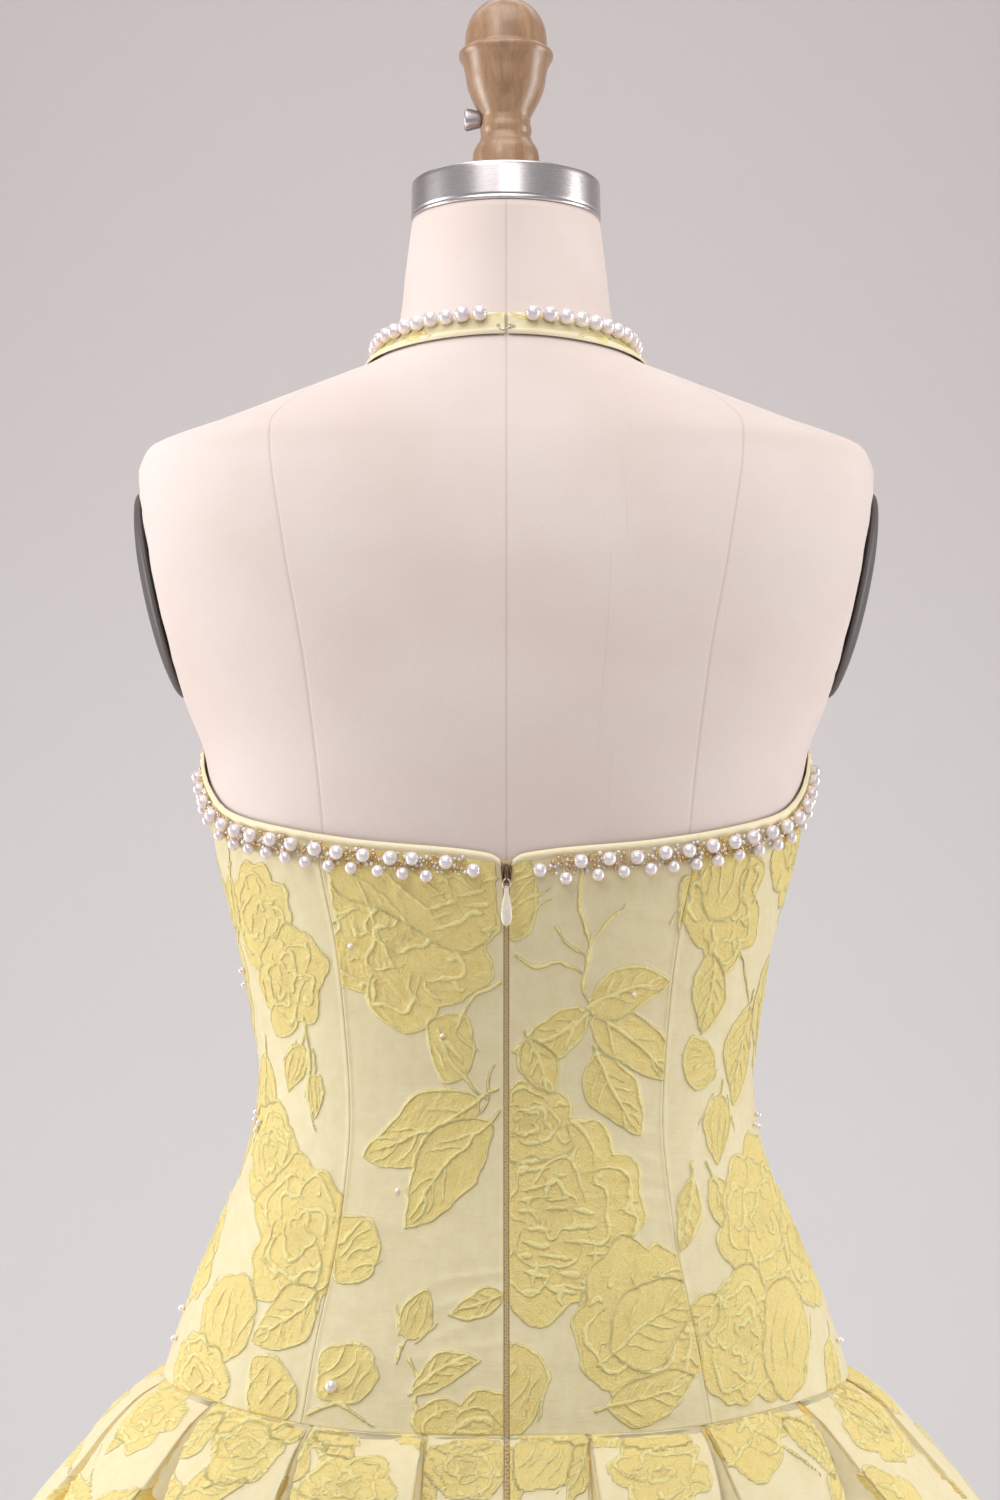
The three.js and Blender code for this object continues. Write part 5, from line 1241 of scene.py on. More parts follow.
def copies(name, unit_mesh, centres, radii, axes=None):
    """One mesh of many scaled copies; radii is (n,) or (n, 3); axes turns each copy's z to a direction."""
    v, f = unit_mesh
    centres, radii = np.asarray(centres, float), np.asarray(radii, float)
    if radii.ndim == 1:
        radii = radii[:, None] * np.ones(3)
    out = v[None] * radii[:, None]
    if axes is not None:
        n = unit(np.asarray(axes, float))
        ref = np.where(np.abs(n[:, 2:3]) < 0.9, np.array([[0, 0, 1.0]]), np.array([[1.0, 0, 0]]))
        a = unit(np.cross(ref, n))
        b = np.cross(n, a)
        out = out[..., 0:1] * a[:, None] + out[..., 1:2] * b[:, None] + out[..., 2:3] * n[:, None]
    out = out + centres[:, None]
    faces = (f[None] + (np.arange(len(centres)) * len(v))[:, None, None]).reshape(-1, 3)
    return new_object(name, out.reshape(-1, 3), faces)


def tone_attribute(ob, values, per):
    set_attribute(ob, "tone", np.repeat(np.asarray(values, float), per))


def pearl_material(name):
    m = Nodes(name)
    tone = m.attribute("tone").outputs["Fac"]
    pos = m.object_mm()
    n = m.noise(pos, 0.35, 2.0)
    base = m.mix(m.smooth(tone, 0.0, 1.0), lin((240, 232, 237)), lin((250, 244, 246)))
    base = m.mix(m.smooth(n, 0.35, 0.7, 0.0, 0.25), base, lin((244, 226, 229)))
    # bead tones over one: gold seeds, then clear ones
    gold = m.smooth(tone, 1.4, 1.6)
    base = m.mix(gold, base, lin((222, 182, 122)))
    clear = m.smooth(tone, 2.4, 2.6)
    base = m.mix(clear, base, lin((226, 220, 226)))
    m.link(base, m.bsdf.inputs["Base Color"])
    m.link(m.math("MULTIPLY_ADD", m.math("SUBTRACT", gold, clear), 0.5, 0.3), m.bsdf.inputs["Metallic"])
    m.link(m.math("MULTIPLY_ADD", n, 0.12, 0.17), m.bsdf.inputs["Roughness"])
    b = m.bsdf
    b.inputs["Coat Weight"].default_value = 1.0
    b.inputs["Coat Roughness"].default_value = 0.05
    b.inputs["Coat IOR"].default_value = 1.7
    b.inputs["Specular IOR Level"].default_value = 0.55
    b.inputs["Subsurface Weight"].default_value = 0.12
    b.inputs["Subsurface Scale"].default_value = 0.0012
    b.inputs["Sheen Weight"].default_value = 0.15
    b.inputs["Sheen Tint"].default_value = lin((255, 214, 220))
    return m.mat


M_PEARL = pearl_material("pearl_beads")


def edge_line(side, kind):
    """The garment's upper edges as many (g, z) places, with the distance along."""
    if kind == "back":
        s = np.linspace(0.0, 1, 200)
        z1 = np.maximum(top_centre_back(s), 1161.9)
        g1 = back_line(z1) * s
        s2 = np.linspace(0.002, 0.995, 240)
        z2 = top_side_back(s2)
        g2 = back_line(z2) * (1 - s2) + s2
        g, z = np.concatenate([g1, g2]), np.concatenate([z1, z2])
    elif kind == "arm":
        s = np.linspace(0.995, 0.0, 240)
        z1 = top_side_front(s)
        g1 = front_line(np.minimum(z1, 1272)) * (1 - s) + s
        z2 = np.linspace(1272.5, 1384.5, 200)
        g, z = np.concatenate([g1, front_line(z2)]), np.concatenate([z1, z2])
    else:
        z1 = np.linspace(1231, 1384.5, 200)
        t = np.linspace(0.05, BAND_END, 300)
        g, z = np.concatenate([neck_edge(z1), B["gin"](t)]), np.concatenate([z1, B["zin"](t)])
    p = at(1, g, z, FACE)
    run = np.concatenate([[0], np.cumsum(np.linalg.norm(np.diff(p, axis=0), axis=1))])
    return g, z, run


def along_edge(line, where, into, inward):
    g, z, run = line
    gi, zi = np.interp(where, run, g), np.interp(where, run, z)
    ga, za = np.interp(where - 3, run, g), np.interp(where - 3, run, z)
    gb, zb = np.interp(where + 3, run, g), np.interp(where + 3, run, z)
    kg = 1 / per_mm(zi, gi)
    kz = np.linalg.norm(wide(gi, zi + 0.5) - wide(gi, zi - 0.5), axis=-1)
    tx, tz = (gb - ga) * kg, (zb - za) * kz
    ln = np.hypot(tx, tz) + 1e-9
    nx, nz = tz / ln * inward, -tx / ln * inward
    return gi + nx * into / kg, zi + nz * into / kz


PEARL = ball(18, 10)
SEED = ball(8, 5)
SEED_FINE = ball(10, 6)


def row_places(first, pitch, end, rng, jitter=1.1):
    out, x = list(first), (first[-1] if first else 0)
    while True:
        x += pitch + jitter * (rng.random() - 0.5) * 2
        if x > end:
            break
        out.append(x)
    return np.array(out)


def pearl_trim(name, side, kind, inward, rng, upper_first, lower_first):
    line = edge_line(side, kind)
    run = line[2]
    # the armhole's trim begins a little past the side seam and ends below the shoulder
    begin = run[33] if kind == "arm" else 0.0
    end = (run[240 + 164] if kind == "arm" else run[-1]) - 4
    up = row_places([begin + x for x in upper_first], 12.4, end, rng)
    low = row_places([begin + x for x in lower_first], 12.4, end, rng, 1.6)
    pearls = []
    for where, into, dia in ((up, 6.5, 6.95), (low, 13.7, 6.2)):
        deep = into + 0.9 * (rng.random(len(where)) - 0.5)
        if kind == "back" and into < 10:
            deep[0] = 9.0
        g, z = along_edge(line, where, deep, inward)
        d = dia + 0.4 * (rng.random(len(where)) - 0.5)
        pearls.append((at(side, g, z, FACE + d / 2 - 0.35), d / 2, rng.random(len(where)), normal(g, z) * np.array([side, 1, 1])))
    c = np.concatenate([p[0] for p in pearls])
    r = np.concatenate([p[1] for p in pearls])
    # seed beads, packed between the pearls
    start = begin + (19.0 if kind == "back" else 1.5)
    n = int((end - start) * 5.2)
    where = start + (end + 2 - start) * rng.random(n)
    into = 3.9 + 8.6 * rng.random(n) ** 0.9
    g, z = along_edge(line, where, into, inward)
    d = 1.45 + 0.95 * rng.random(n) ** 1.5
    pts = at(side, g, z, FACE + d / 2 - 0.15)
    clear = (np.linalg.norm(pts[:, None] - c[None], axis=2) - r[None]).min(1) > d / 2 - 0.1
    chosen = []
    for i in np.flatnonzero(clear):
        if chosen:
            near = np.linalg.norm(pts[chosen] - pts[i], axis=1) - 0.9 * (d[chosen] + d[i]) / 2
            if near.min() < 0:
                continue
        chosen.append(int(i))
    pick = rng.random(len(chosen))
    tone = np.where(pick < 0.42, 2.0, np.where(pick < 0.75, 0.4, 3.0))
    big = copies(name, PEARL, c, np.stack([r * 1.02, r * 1.02, r * 0.96], 1), np.concatenate([p[3] for p in pearls]))
    tone_attribute(big, np.concatenate([p[2] for p in pearls]), len(PEARL[0]))
    finish_piece(big, M_PEARL, [name])
    small = copies(name + "_seeds", SEED, pts[chosen], d[chosen] / 2)
    tone_attribute(small, tone, len(SEED[0]))
    finish_piece(small, M_PEARL, [name])


rng = np.random.default_rng(31)
pearl_trim("pearl_trim_back_left", -1, "back", 1, rng, [14.8, 28.7, 45.0, 55.6, 68.8], [38.3, 49.8, 62.0])
pearl_trim("pearl_trim_back_right", 1, "back", 1, rng, [15.0, 35.3, 49.0, 62.5, 76.5], [27.8, 43.8, 56.4, 69.5])
pearl_trim("pearl_trim_armhole_left", -1, "arm", 1, rng, [4.4], [10.0])
pearl_trim("pearl_trim_armhole_right", 1, "arm", 1, rng, [4.8], [10.4])


def neck_row(name, side, rng):
    line = edge_line(side, "neck")
    total = line[2][-1]
    stop = total - 12.0  # bare where the ends meet
    n = int((stop - 6) / 8.4)
    where = stop - np.arange(n) * 8.4 + 0.4 * (rng.random(n) - 0.5)
    g, z = along_edge(line, where, 3.5 + 0.4 * (rng.random(n) - 0.5), -1)
    d = 7.9 + 0.25 * (rng.random(n) - 0.5)
    big = copies(name, PEARL, at(side, g, z, FACE + d / 2 - 0.5), d / 2)
    tone_attribute(big, rng.random(n), len(PEARL[0]))
    finish_piece(big, M_PEARL, [name])
    # a second row under it down the front, where the band is wide
    w2 = np.arange(12, line[2][200 + 80], 8.4)
    g, z = along_edge(line, w2, 10.9 + 0.4 * (rng.random(len(w2)) - 0.5), -1)
    d2 = 5.5 + 0.2 * (rng.random(len(w2)) - 0.5)
    w3 = where[:-1] - 4.2
    w3 = w3[w3 < line[2][200 + 100]]
    g3, z3 = along_edge(line, w3, 7.6, -1)
    pts = np.concatenate([at(side, g, z, FACE + 2.3), at(side, g3, z3, FACE + 0.8)])
    rad = np.concatenate([d2 / 2, np.full(len(w3), 0.85)])
    tones = np.concatenate([rng.random(len(w2)), np.where(rng.random(len(w3)) < 0.5, 2.0, 3.0)])
    small = copies(name + "_second", ball(12, 8), pts, rad)
    tone_attribute(small, tones, len(ball(12, 8)[0]))
    finish_piece(small, M_PEARL, [name])


neck_row("pearl_row_neck_left", -1, rng)
neck_row("pearl_row_neck_right", 1, rng)

# loose beads sewn to the flowers
loose = [(-123.5, 1028, 1.8), (-122, 1023.5, 1.5), (-125, 1024, 1.4), (-123.5, 1019.5, 1.6), (125.3, 1026, 1.7), (124, 1021.5, 1.5), (126, 1020, 1.4),
         (-131, 1101.5, 2.0), (-130.4, 1094, 1.9), (-82.2, 906, 3.1), (-74.3, 1116.8, 1.5), (-30.5, 1073, 1.2), (61, 1093, 1.2), (-52, 997, 1.2),
         (-162.5, 926, 1.9), (-165.5, 912.5, 1.7), (166.5, 911, 1.8)]
pts, rad = [], []
for x, z, r in loose:
    g = float(g_of(np.array(abs(x)), np.array(float(z)), False))
    pts.append(at(np.sign(x), g, float(z), FACE + r * 0.7))
    rad.append(r)
beads = copies("loose_beads", SEED_FINE, pts, rad)
tone_attribute(beads, np.linspace(0, 1, len(pts)), len(SEED_FINE[0]))
beads.data.materials.append(M_PEARL)
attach(beads, BODY)

# ------------------------------------------------------------------ zip
def simple(name, rough, color, metallic=0.0, grain=None, bump=None):
    m = Nodes(name)
    pos = m.object_mm()
    n = m.noise(pos, grain or 0.6, 4.0)
    m.link(m.mix(m.smooth(n, 0.3, 0.7), tuple(c * 0.9 for c in color[:3]) + (1,), color), m.bsdf.inputs["Base Color"])
    m.link(m.math("MULTIPLY_ADD", n, 0.14, rough - 0.07), m.bsdf.inputs["Roughness"])
    m.bsdf.inputs["Metallic"].default_value = metallic
    if bump:
        m.link(m.bump(m.noise(pos, bump[0], 3.0), bump[1], bump[2]), m.bsdf.inputs["Normal"])
    return m.mat


M_TAPE = simple("zip_tape", 0.75, lin((206, 184, 140)), 0.0, 2.5, (3.5, 0.6, 0.0002))
M_BRONZE = simple("zip_metal", 0.34, lin((112, 92, 74)), 0.85, 1.2, (1.4, 0.4, 0.0003))
M_PULL = simple("zip_pull_enamel", 0.3, lin((246, 238, 222)), 0.1, 0.5)
M_WIRE = simple("zip_wire", 0.3, lin((232, 206, 196)), 0.7, 0.9)
M_HOOK = simple("hook_wire", 0.3, lin((188, 182, 178)), 0.9, 0.9)


def back_y(z):
    z = np.asarray(z, float)
    up = at(1, np.zeros_like(z), np.maximum(z, HIP_Z), FACE)[..., 1]
    low = skirt_at(1, np.zeros_like(z), z, K["recess"](z))[..., 1]
    return np.where(z >= HIP_Z - 1, up, low)


zz = np.concatenate([np.linspace(ZIP_TOP, 886, 150), np.linspace(884.5, ZIP_END, 42)])
yy = back_y(zz)
tz = np.stack([np.gradient(yy), np.gradient(zz)], -1)
tz /= np.linalg.norm(tz, axis=1, keepdims=True)
inn = np.stack([-tz[:, 1], tz[:, 0]], -1)
inn *= np.sign(inn[:, :1] + 1e-9)


def strip(depths, xs):
    return np.stack([np.stack([np.full(len(zz), x), yy + inn[:, 0] * d, zz + inn[:, 1] * d], -1) for x, d in zip(xs, depths)], 1)


tape_wide = (zip_half(zz) - 0.15) / 1.05
tape_out = strip([1.05, 0.85, 0.78, 0.92, 0.78, 0.85, 1.05], [-1.05, -0.7, -0.3, 0, 0.3, 0.7, 1.05])
tape_in = strip([1.6] * 7, [-1.05, -0.7, -0.3, 0, 0.3, 0.7, 1.05])
tape_out[..., 0] *= tape_wide[:, None]
tape_in[..., 0] *= tape_wide[:, None]
nv = tape_out.shape[0] * 7
idx = np.arange(nv).reshape(-1, 7)
fo = np.stack([idx[:-1, :-1], idx[:-1, 1:], idx[1:, 1:], idx[1:, :-1]], -1).reshape(-1, 4)
fi = fo[:, ::-1] + nv
rims = []
for a in (idx[:, 0], idx[:, -1][::-1]):
    rims.append(np.stack([a[:-1], a[1:], a[1:] + nv, a[:-1] + nv], -1))
for a in (idx[0][::-1], idx[-1]):
    rims.append(np.stack([a[:-1], a[1:], a[1:] + nv, a[:-1] + nv], -1))
tape = new_object("zip_tape_strip", np.concatenate([tape_out.reshape(-1, 3), tape_in.reshape(-1, 3)]), np.concatenate([fo, fi] + rims))
finish_piece(tape, M_TAPE, ["zip_chain"])
tooth_z = np.arange(ZIP_END + 2, ZIP_TOP - 0.4, 1.45)
ty = np.interp(tooth_z, zz[::-1], (yy + inn[:, 0] * 0.75)[::-1])
parted = 0.28 + (np.clip(zip_half(tooth_z) - ZIP_GAP / 2 - 0.35, 0, 9)) * 0.85
teeth = copies("zip_teeth", ball(8, 5), np.stack([np.where(np.arange(len(tooth_z)) % 2, parted, -parted), ty, tooth_z], 1),
               np.tile([[0.62, 0.42, 0.5]], (len(tooth_z), 1)))
finish_piece(teeth, M_TAPE, ["zip_chain"])

SLIDER_FACE = float(min(back_y(1156.0), back_y(1147.0)))
AX_Y, AX_Z = SLIDER_FACE - 3.6, 1148.4


def block(name, outline, y0, y1, round_r=0.5, steps=4):
    """A plate with a rounded front: outline (x, z) anticlockwise seen from -Y, from y0 (back) to y1 (front, smaller)."""
    o = np.asarray(outline, float)
    c = o.mean(0)
    rings = [(y0, 0.0)]
    for k in range(steps + 1):
        a = k / steps * math.pi / 2
        rings.append((y1 + round_r * (1 - math.sin(a)), round_r * (1 - math.cos(a))))
    verts = []
    for y, shrink in rings:
        d = o - c
        ln = np.linalg.norm(d, axis=1, keepdims=True)
        q = c + d * np.maximum(0, 1 - shrink / np.maximum(ln, 1e-6))
        verts += [(p[0], y, p[1]) for p in q]
    n = len(o)
    faces = []
    for r in range(len(rings) - 1):
        for i in range(n):
            j = (i + 1) % n
            faces.append([r * n + i, r * n + j, (r + 1) * n + j, (r + 1) * n + i])
    faces.append(list(range(n))[::-1])
    faces.append([(len(rings) - 1) * n + i for i in range(n)])
    return verts, faces


def join_parts(name, parts, smooth=True):
    verts, faces = [], []
    for v, f in parts:
        base = len(verts)
        verts += [tuple(p) for p in v]
        faces += [[i + base for i in q] for q in f]
    return new_object(name, np.array(verts), faces, smooth)


def ring_tube(centre, rx, rz, r, nu=28, nv=10, y_tilt=0.0):
    v, f = [], []
    for i in range(nu):
        a = 2 * math.pi * i / nu
        cx, cz = rx * math.cos(a), rz * math.sin(a)
        nrm = np.array([cx / rx ** 2, 0, cz / rz ** 2])
        nrm /= np.linalg.norm(nrm)
        for j in range(nv):
            b = 2 * math.pi * j / nv
            v.append(np.array([cx, 0, cz]) + r * (math.cos(b) * nrm + math.sin(b) * np.array([0, 1, 0])) + np.array(centre))
    for i in range(nu):
        for j in range(nv):
            a, b = i * nv + j, i * nv + (j + 1) % nv
            c, d = ((i + 1) % nu) * nv + (j + 1) % nv, ((i + 1) % nu) * nv + j
            f.append([a, b, c, d])
    return v, f


def tube(path, radius, nv=10):
    path = np.asarray(path, float)
    radius = np.broadcast_to(radius, len(path))
    t = unit(np.gradient(path, axis=0))
    ref = np.array([0, 1.0, 0]) if abs(t[0][1]) < 0.9 else np.array([1.0, 0, 0])
    a = unit(np.cross(t, ref))
    b = np.cross(t, a)
    th = np.linspace(0, 2 * math.pi, nv, endpoint=False)
    v = (path[:, None] + radius[:, None, None] * (np.cos(th)[None, :, None] * a[:, None] + np.sin(th)[None, :, None] * b[:, None])).reshape(-1, 3)
    f = []
    for i in range(len(path) - 1):
        for j in range(nv):
            p, q = i * nv + j, i * nv + (j + 1) % nv
            f.append([p, p + nv, q + nv, q])
    f.append(list(range(nv)))
    f.append([(len(path) - 1) * nv + j for j in range(nv)][::-1])
    return v.tolist(), f


slider_out = [(-2.2, 1147.2), (-1.5, 1146.9), (1.5, 1146.9), (2.2, 1147.2), (2.35, 1149.5), (2.65, 1152.4), (2.7, 1154.6), (2.2, 1155.5), (0.9, 1155.8), (0.35, 1155.0), (-0.35, 1155.0),
              (-0.9, 1155.8), (-2.2, 1155.5), (-2.7, 1154.6), (-2.65, 1152.4), (-2.35, 1149.5)]
bridge = tube([(0, SLIDER_FACE - 1.9, 1155.2), (0, SLIDER_FACE - 3.3, 1154.5), (0, SLIDER_FACE - 3.9, 1152.8), (0, SLIDER_FACE - 4.0, 1150.8), (0, SLIDER_FACE - 3.3, 1148.9), (0, SLIDER_FACE - 1.9, 1147.6)], 0.85)
slider = join_parts("zip_slider_body", [block("", slider_out, SLIDER_FACE - 0.4, SLIDER_FACE - 2.5, 0.9), bridge,
                                        tube([(-1.9, SLIDER_FACE - 2.3, 1153.9), (-1.9, SLIDER_FACE - 2.6, 1151.2), (-1.7, SLIDER_FACE - 2.3, 1148.4)], 0.55, 8),
                                        tube([(1.9, SLIDER_FACE - 2.3, 1153.9), (1.9, SLIDER_FACE - 2.6, 1151.2), (1.7, SLIDER_FACE - 2.3, 1148.4)], 0.55, 8)])
finish_piece(slider, M_BRONZE, ["zip_slider"])

loop = join_parts("pull_wire", [ring_tube((0, AX_Y, AX_Z - 1.75), 1.75, 2.3, 0.42)])
finish_piece(loop, M_WIRE, ["zip_pull"], PULL)
prof = np.array([(0.0, 0.55), (0.03, 0.8), (0.08, 0.95), (0.16, 1.15), (0.3, 1.65), (0.45, 2.15), (0.6, 2.5), (0.72, 2.6), (0.83, 2.42), (0.91, 1.9), (0.97, 1.1), (1.0, 0.0)])
prof_c = Curve(prof[:, 0], prof[:, 1])
ts = np.concatenate([np.linspace(0, 0.9, 22), np.linspace(0.92, 1, 9)])
tab_v, tab_f = [], []
nth = 20
for t in ts:
    wx = float(prof_c(t))
    wy = 0.30 + 0.55 * (wx / 2.6)
    z = AX_Z - 3.6 - t * 18.55
    for j in range(nth):
        a = 2 * math.pi * j / nth
        tab_v.append((wx * np.sign(math.cos(a)) * abs(math.cos(a)) ** 0.9, AX_Y + wy * np.sign(math.sin(a)) * abs(math.sin(a)) ** 0.8, z))
for i in range(len(ts) - 1):
    for j in range(nth):
        a, b = i * nth + j, i * nth + (j + 1) % nth
        tab_f.append([a, b, b + nth, a + nth])
tab_f.append(list(range(nth)))
tab = join_parts("pull_tab", [(tab_v, tab_f), ring_tube((0, AX_Y, AX_Z - 4.1), 0.75, 1.0, 0.36, 16, 8)])
finish_piece(tab, M_PULL, ["zip_pull"], PULL)

# hook and bar at the nape
c = at(1, 0.0, 1421.2, FACE)
hy = c[1]
hook = join_parts("nape_hook_wire", [
    tube([(-3.6, hy - 0.9, 1422.6), (-3.4, hy - 1.2, 1420.6), (-1.8, hy - 1.3, 1419.9), (0.2, hy - 1.4, 1420.6), (1.9, hy - 1.6, 1421.2), (2.4, hy - 1.9, 1421.9), (1.7, hy - 2.1, 1422.5), (0.4, hy - 2.0, 1422.4)], 0.3, 8),
    ring_tube((-4.0, hy - 0.9, 1422.4), 0.6, 0.6, 0.24, 16, 8), ring_tube((3.7, hy - 0.9, 1422.0), 0.6, 0.6, 0.24, 16, 8),
    tube([(3.4, hy - 0.9, 1423.6), (2.3, hy - 1.0, 1423.0), (2.1, hy - 1.05, 1421.6), (2.3, hy - 1.0, 1420.3), (3.4, hy - 0.9, 1419.8)], 0.26, 8)])
finish_piece(hook, M_HOOK, ["nape_hook"])

# ------------------------------------------------------------------ dress form
def cover_material():
    m = Nodes("form_cover")
    pos = m.object_mm()
    seam = m.attribute("seam").outputs["Fac"]
    a = m.noise(pos, 0.012, 3.0)
    weave_a = m.noise(m.scaled(pos, (1.4, 1.4, 0.5)), 1.0, 2.0, 0.6)
    weave_b = m.noise(m.scaled(pos, (0.5, 0.5, 1.8)), 1.0, 2.0, 0.6)
    col = m.mix(m.smooth(a, 0.35, 0.65), lin((235, 221, 216)), lin((230, 214, 207)))
    col = m.mix(m.smooth(weave_a, 0.4, 0.8, 0.0, 0.35), col, lin((226, 208, 198)))
    line = m.smooth(m.math("ABSOLUTE", seam), 0.2, 0.8, 1.0, 0.0)
    col = m.mix(m.math("MULTIPLY", line, 0.3), col, lin((178, 156, 144)))
    m.link(col, m.bsdf.inputs["Base Color"])
    m.bsdf.inputs["Roughness"].default_value = 0.82
    groove = m.smooth(m.math("ABSOLUTE", seam), 0.0, 1.6)
    h = m.math("ADD", m.math("MULTIPLY", groove, 0.8), m.math("ADD", m.math("MULTIPLY", weave_a, 0.30), m.math("MULTIPLY", weave_b, 0.22)))
    m.link(m.bump(h, 0.55, 0.00035), m.bsdf.inputs["Normal"])
    m.bsdf.inputs["Sheen Weight"].default_value = 0.12
    m.bsdf.inputs["Sheen Roughness"].default_value = 0.5
    return m.mat


gz = np.concatenate([[FORM_BOTTOM_Z, 773.2, 776], np.linspace(781, 1356, 118), np.linspace(1359, 1400, 22), np.linspace(1403, NECK_TOP_Z, 28)])
gg = np.linspace(0, 4, 129)[:-1]
Gf, Zf = np.meshgrid(gg, gz)
P = wide(Gf, Zf)
low = np.clip((776 - Zf) / 4, 0, 1)
shrink = 1 - (4 * (1 - np.sqrt(np.clip(1 - low ** 2, 0, 1)))) / np.hypot(P[..., 0], P[..., 1])
P[..., 0] *= shrink
P[..., 1] *= shrink
# the cover's seams: centre back, and two that run down from the shoulders
BACK_SEAM = Curve([772, 900, 1030, 1172, 1254, 1311, 1372, 1400], [96, 92, 80, 88.6, 97.4, 107.6, 116, 96])
FRONT_SEAM = Curve([772, 900, 1045, 1200, 1300, 1372, 1400], [90, 84, 66, 84, 104, 122, 100])
gb, gf = g_of(BACK_SEAM(gz), gz, False), g_of(FRONT_SEAM(gz), gz, True)
fold_g = np.where(Gf > 2, 4 - Gf, Gf)
kk = 1 / per_mm(Zf, np.clip(fold_g, 0.05, 1.95))
cand = np.stack([np.where(Gf > 2, Gf - 4, Gf) * kk, (fold_g - gb[:, None]) * kk, (fold_g - gf[:, None]) * kk, (Gf - 2) * kk], 0)
best = np.argmin(np.abs(cand), axis=0)
seam = np.take_along_axis(cand, best[None], 0)[0]
n = Gf.shape[1]
rows = len(gz)
idx = np.arange(rows * n).reshape(rows, n)
nxt = np.roll(idx, -1, 1)
quads = np.stack([idx[:-1], nxt[:-1], nxt[1:], idx[1:]], -1).reshape(-1, 4).tolist()
verts = np.concatenate([P.reshape(-1, 3), [[0, 0, FORM_BOTTOM_Z], [0, NECK_Y, NECK_TOP_Z]]])
b0, t0 = rows * n, rows * n + 1
quads += [[int(nxt[0][i]), int(idx[0][i]), b0] for i in range(n)] + [[int(idx[-1][i]), int(nxt[-1][i]), t0] for i in range(n)]
torso = new_object("form_cover_body", verts, quads)
set_attribute(torso, "seam", np.concatenate([seam.ravel(), [50, 50]]))
M_COVER = cover_material()
finish_piece(torso, M_COVER, ["form_torso"])


def lathe(profile, seg=96, cap=True, centre=(0, 0)):
    """Turned solid about z; profile is (r, z) from foot to top."""
    prof = np.asarray(profile, float)
    th = np.linspace(0, 2 * math.pi, seg, endpoint=False)
    v = np.stack([prof[:, 0][:, None] * np.cos(th) + centre[0], prof[:, 0][:, None] * np.sin(th) + centre[1], np.repeat(prof[:, 1][:, None], seg, 1)], -1).reshape(-1, 3)
    idx = np.arange(len(prof) * seg).reshape(len(prof), seg)
    nx = np.roll(idx, -1, 1)
    f = np.stack([idx[:-1], nx[:-1], nx[1:], idx[1:]], -1).reshape(-1, 4).tolist()
    if cap:
        v = np.concatenate([v, [[centre[0], centre[1], prof[0, 1]], [centre[0], centre[1], prof[-1, 1]]]])
        b, t = len(prof) * seg, len(prof) * seg + 1
        f += [[int(nx[0][i]), int(idx[0][i]), b] for i in range(seg)] + [[int(idx[-1][i]), int(nx[-1][i]), t] for i in range(seg)]
    return v, f


def round_corner(r0, z0, r1, z1, kind, n=5):
    a = np.linspace(0, math.pi / 2, n)
    if kind == "out_top":
        return [(r0 - (r0 - r1) * (1 - math.cos(x)), z0 + (z1 - z0) * math.sin(x)) for x in a]
    return [(r0 + (r1 - r0) * math.sin(x), z1 - (z1 - z0) * math.cos(x)) for x in a]


def steel_material():
    m = Nodes("neck_steel")
    pos = m.object_mm()
    brushed = m.noise(m.scaled(pos, (0.12, 0.12, 7.0)), 1.0, 3.0, 0.7)
    fine = m.noise(m.scaled(pos, (0.02, 0.02, 1.1)), 1.0, 3.0, 0.7)
    m.link(m.mix(m.smooth(brushed, 0.3, 0.7), lin((208, 201, 203)), lin((228, 221, 221))), m.bsdf.inputs["Base Color"])
    m.bsdf.inputs["Metallic"].default_value = 1.0
    m.link(m.math("MULTIPLY_ADD", brushed, 0.03, 0.26), m.bsdf.inputs["Roughness"])
    m.link(m.bump(m.math("ADD", brushed, fine), 0.05, 0.0001), m.bsdf.inputs["Normal"])
    m.bsdf.inputs["Anisotropic"].default_value = 0.4
    return m.mat


def wood_material():
    m = Nodes("finial_wood")
    pos = m.object_mm()
    w = m.noise(m.scaled(pos, (0.16, 0.16, 0.022)), 1.0, 4.0, 0.65, 0.6)
    fine = m.noise(m.scaled(pos, (1.6, 1.6, 0.12)), 1.0, 3.0, 0.7)
    col = m.mix(m.smooth(w, 0.32, 0.66), lin((180, 143, 109)), lin((156, 119, 87)))
    col = m.mix(m.smooth(fine, 0.45, 0.8, 0.0, 0.5), col, lin((132, 96, 72)))
    m.link(col, m.bsdf.inputs["Base Color"])
    m.link(m.math("MULTIPLY_ADD", fine, 0.14, 0.30), m.bsdf.inputs["Roughness"])
    m.link(m.bump(fine, 0.3, 0.0002), m.bsdf.inputs["Normal"])
    m.bsdf.inputs["Coat Weight"].default_value = 0.7
    m.bsdf.inputs["Coat Roughness"].default_value = 0.3
    return m.mat


M_STEEL, M_WOOD = steel_material(), wood_material()
cap_prof = [(48.4, 1491.2), (49.5, 1491.4), (49.8, 1492.0), (49.8, 1493.0), (49.5, 1493.3), (49.55, 1493.7), (49.75, 1494.0)] + [(49.75 - 0.3 * t, 1494.0 + t * 15.8) for t in np.linspace(0.05, 0.98, 12)] + round_corner(49.4, 1509.8, 48.2, 1511.0, "out_top") + [(30, 1511.1), (19, 1511.0)]
v, f = lathe(cap_prof, 128, True, (0, NECK_Y))
cap = new_object("neck_cap_turned", v, f)
finish_piece(cap, M_STEEL, ["neck_cap"])

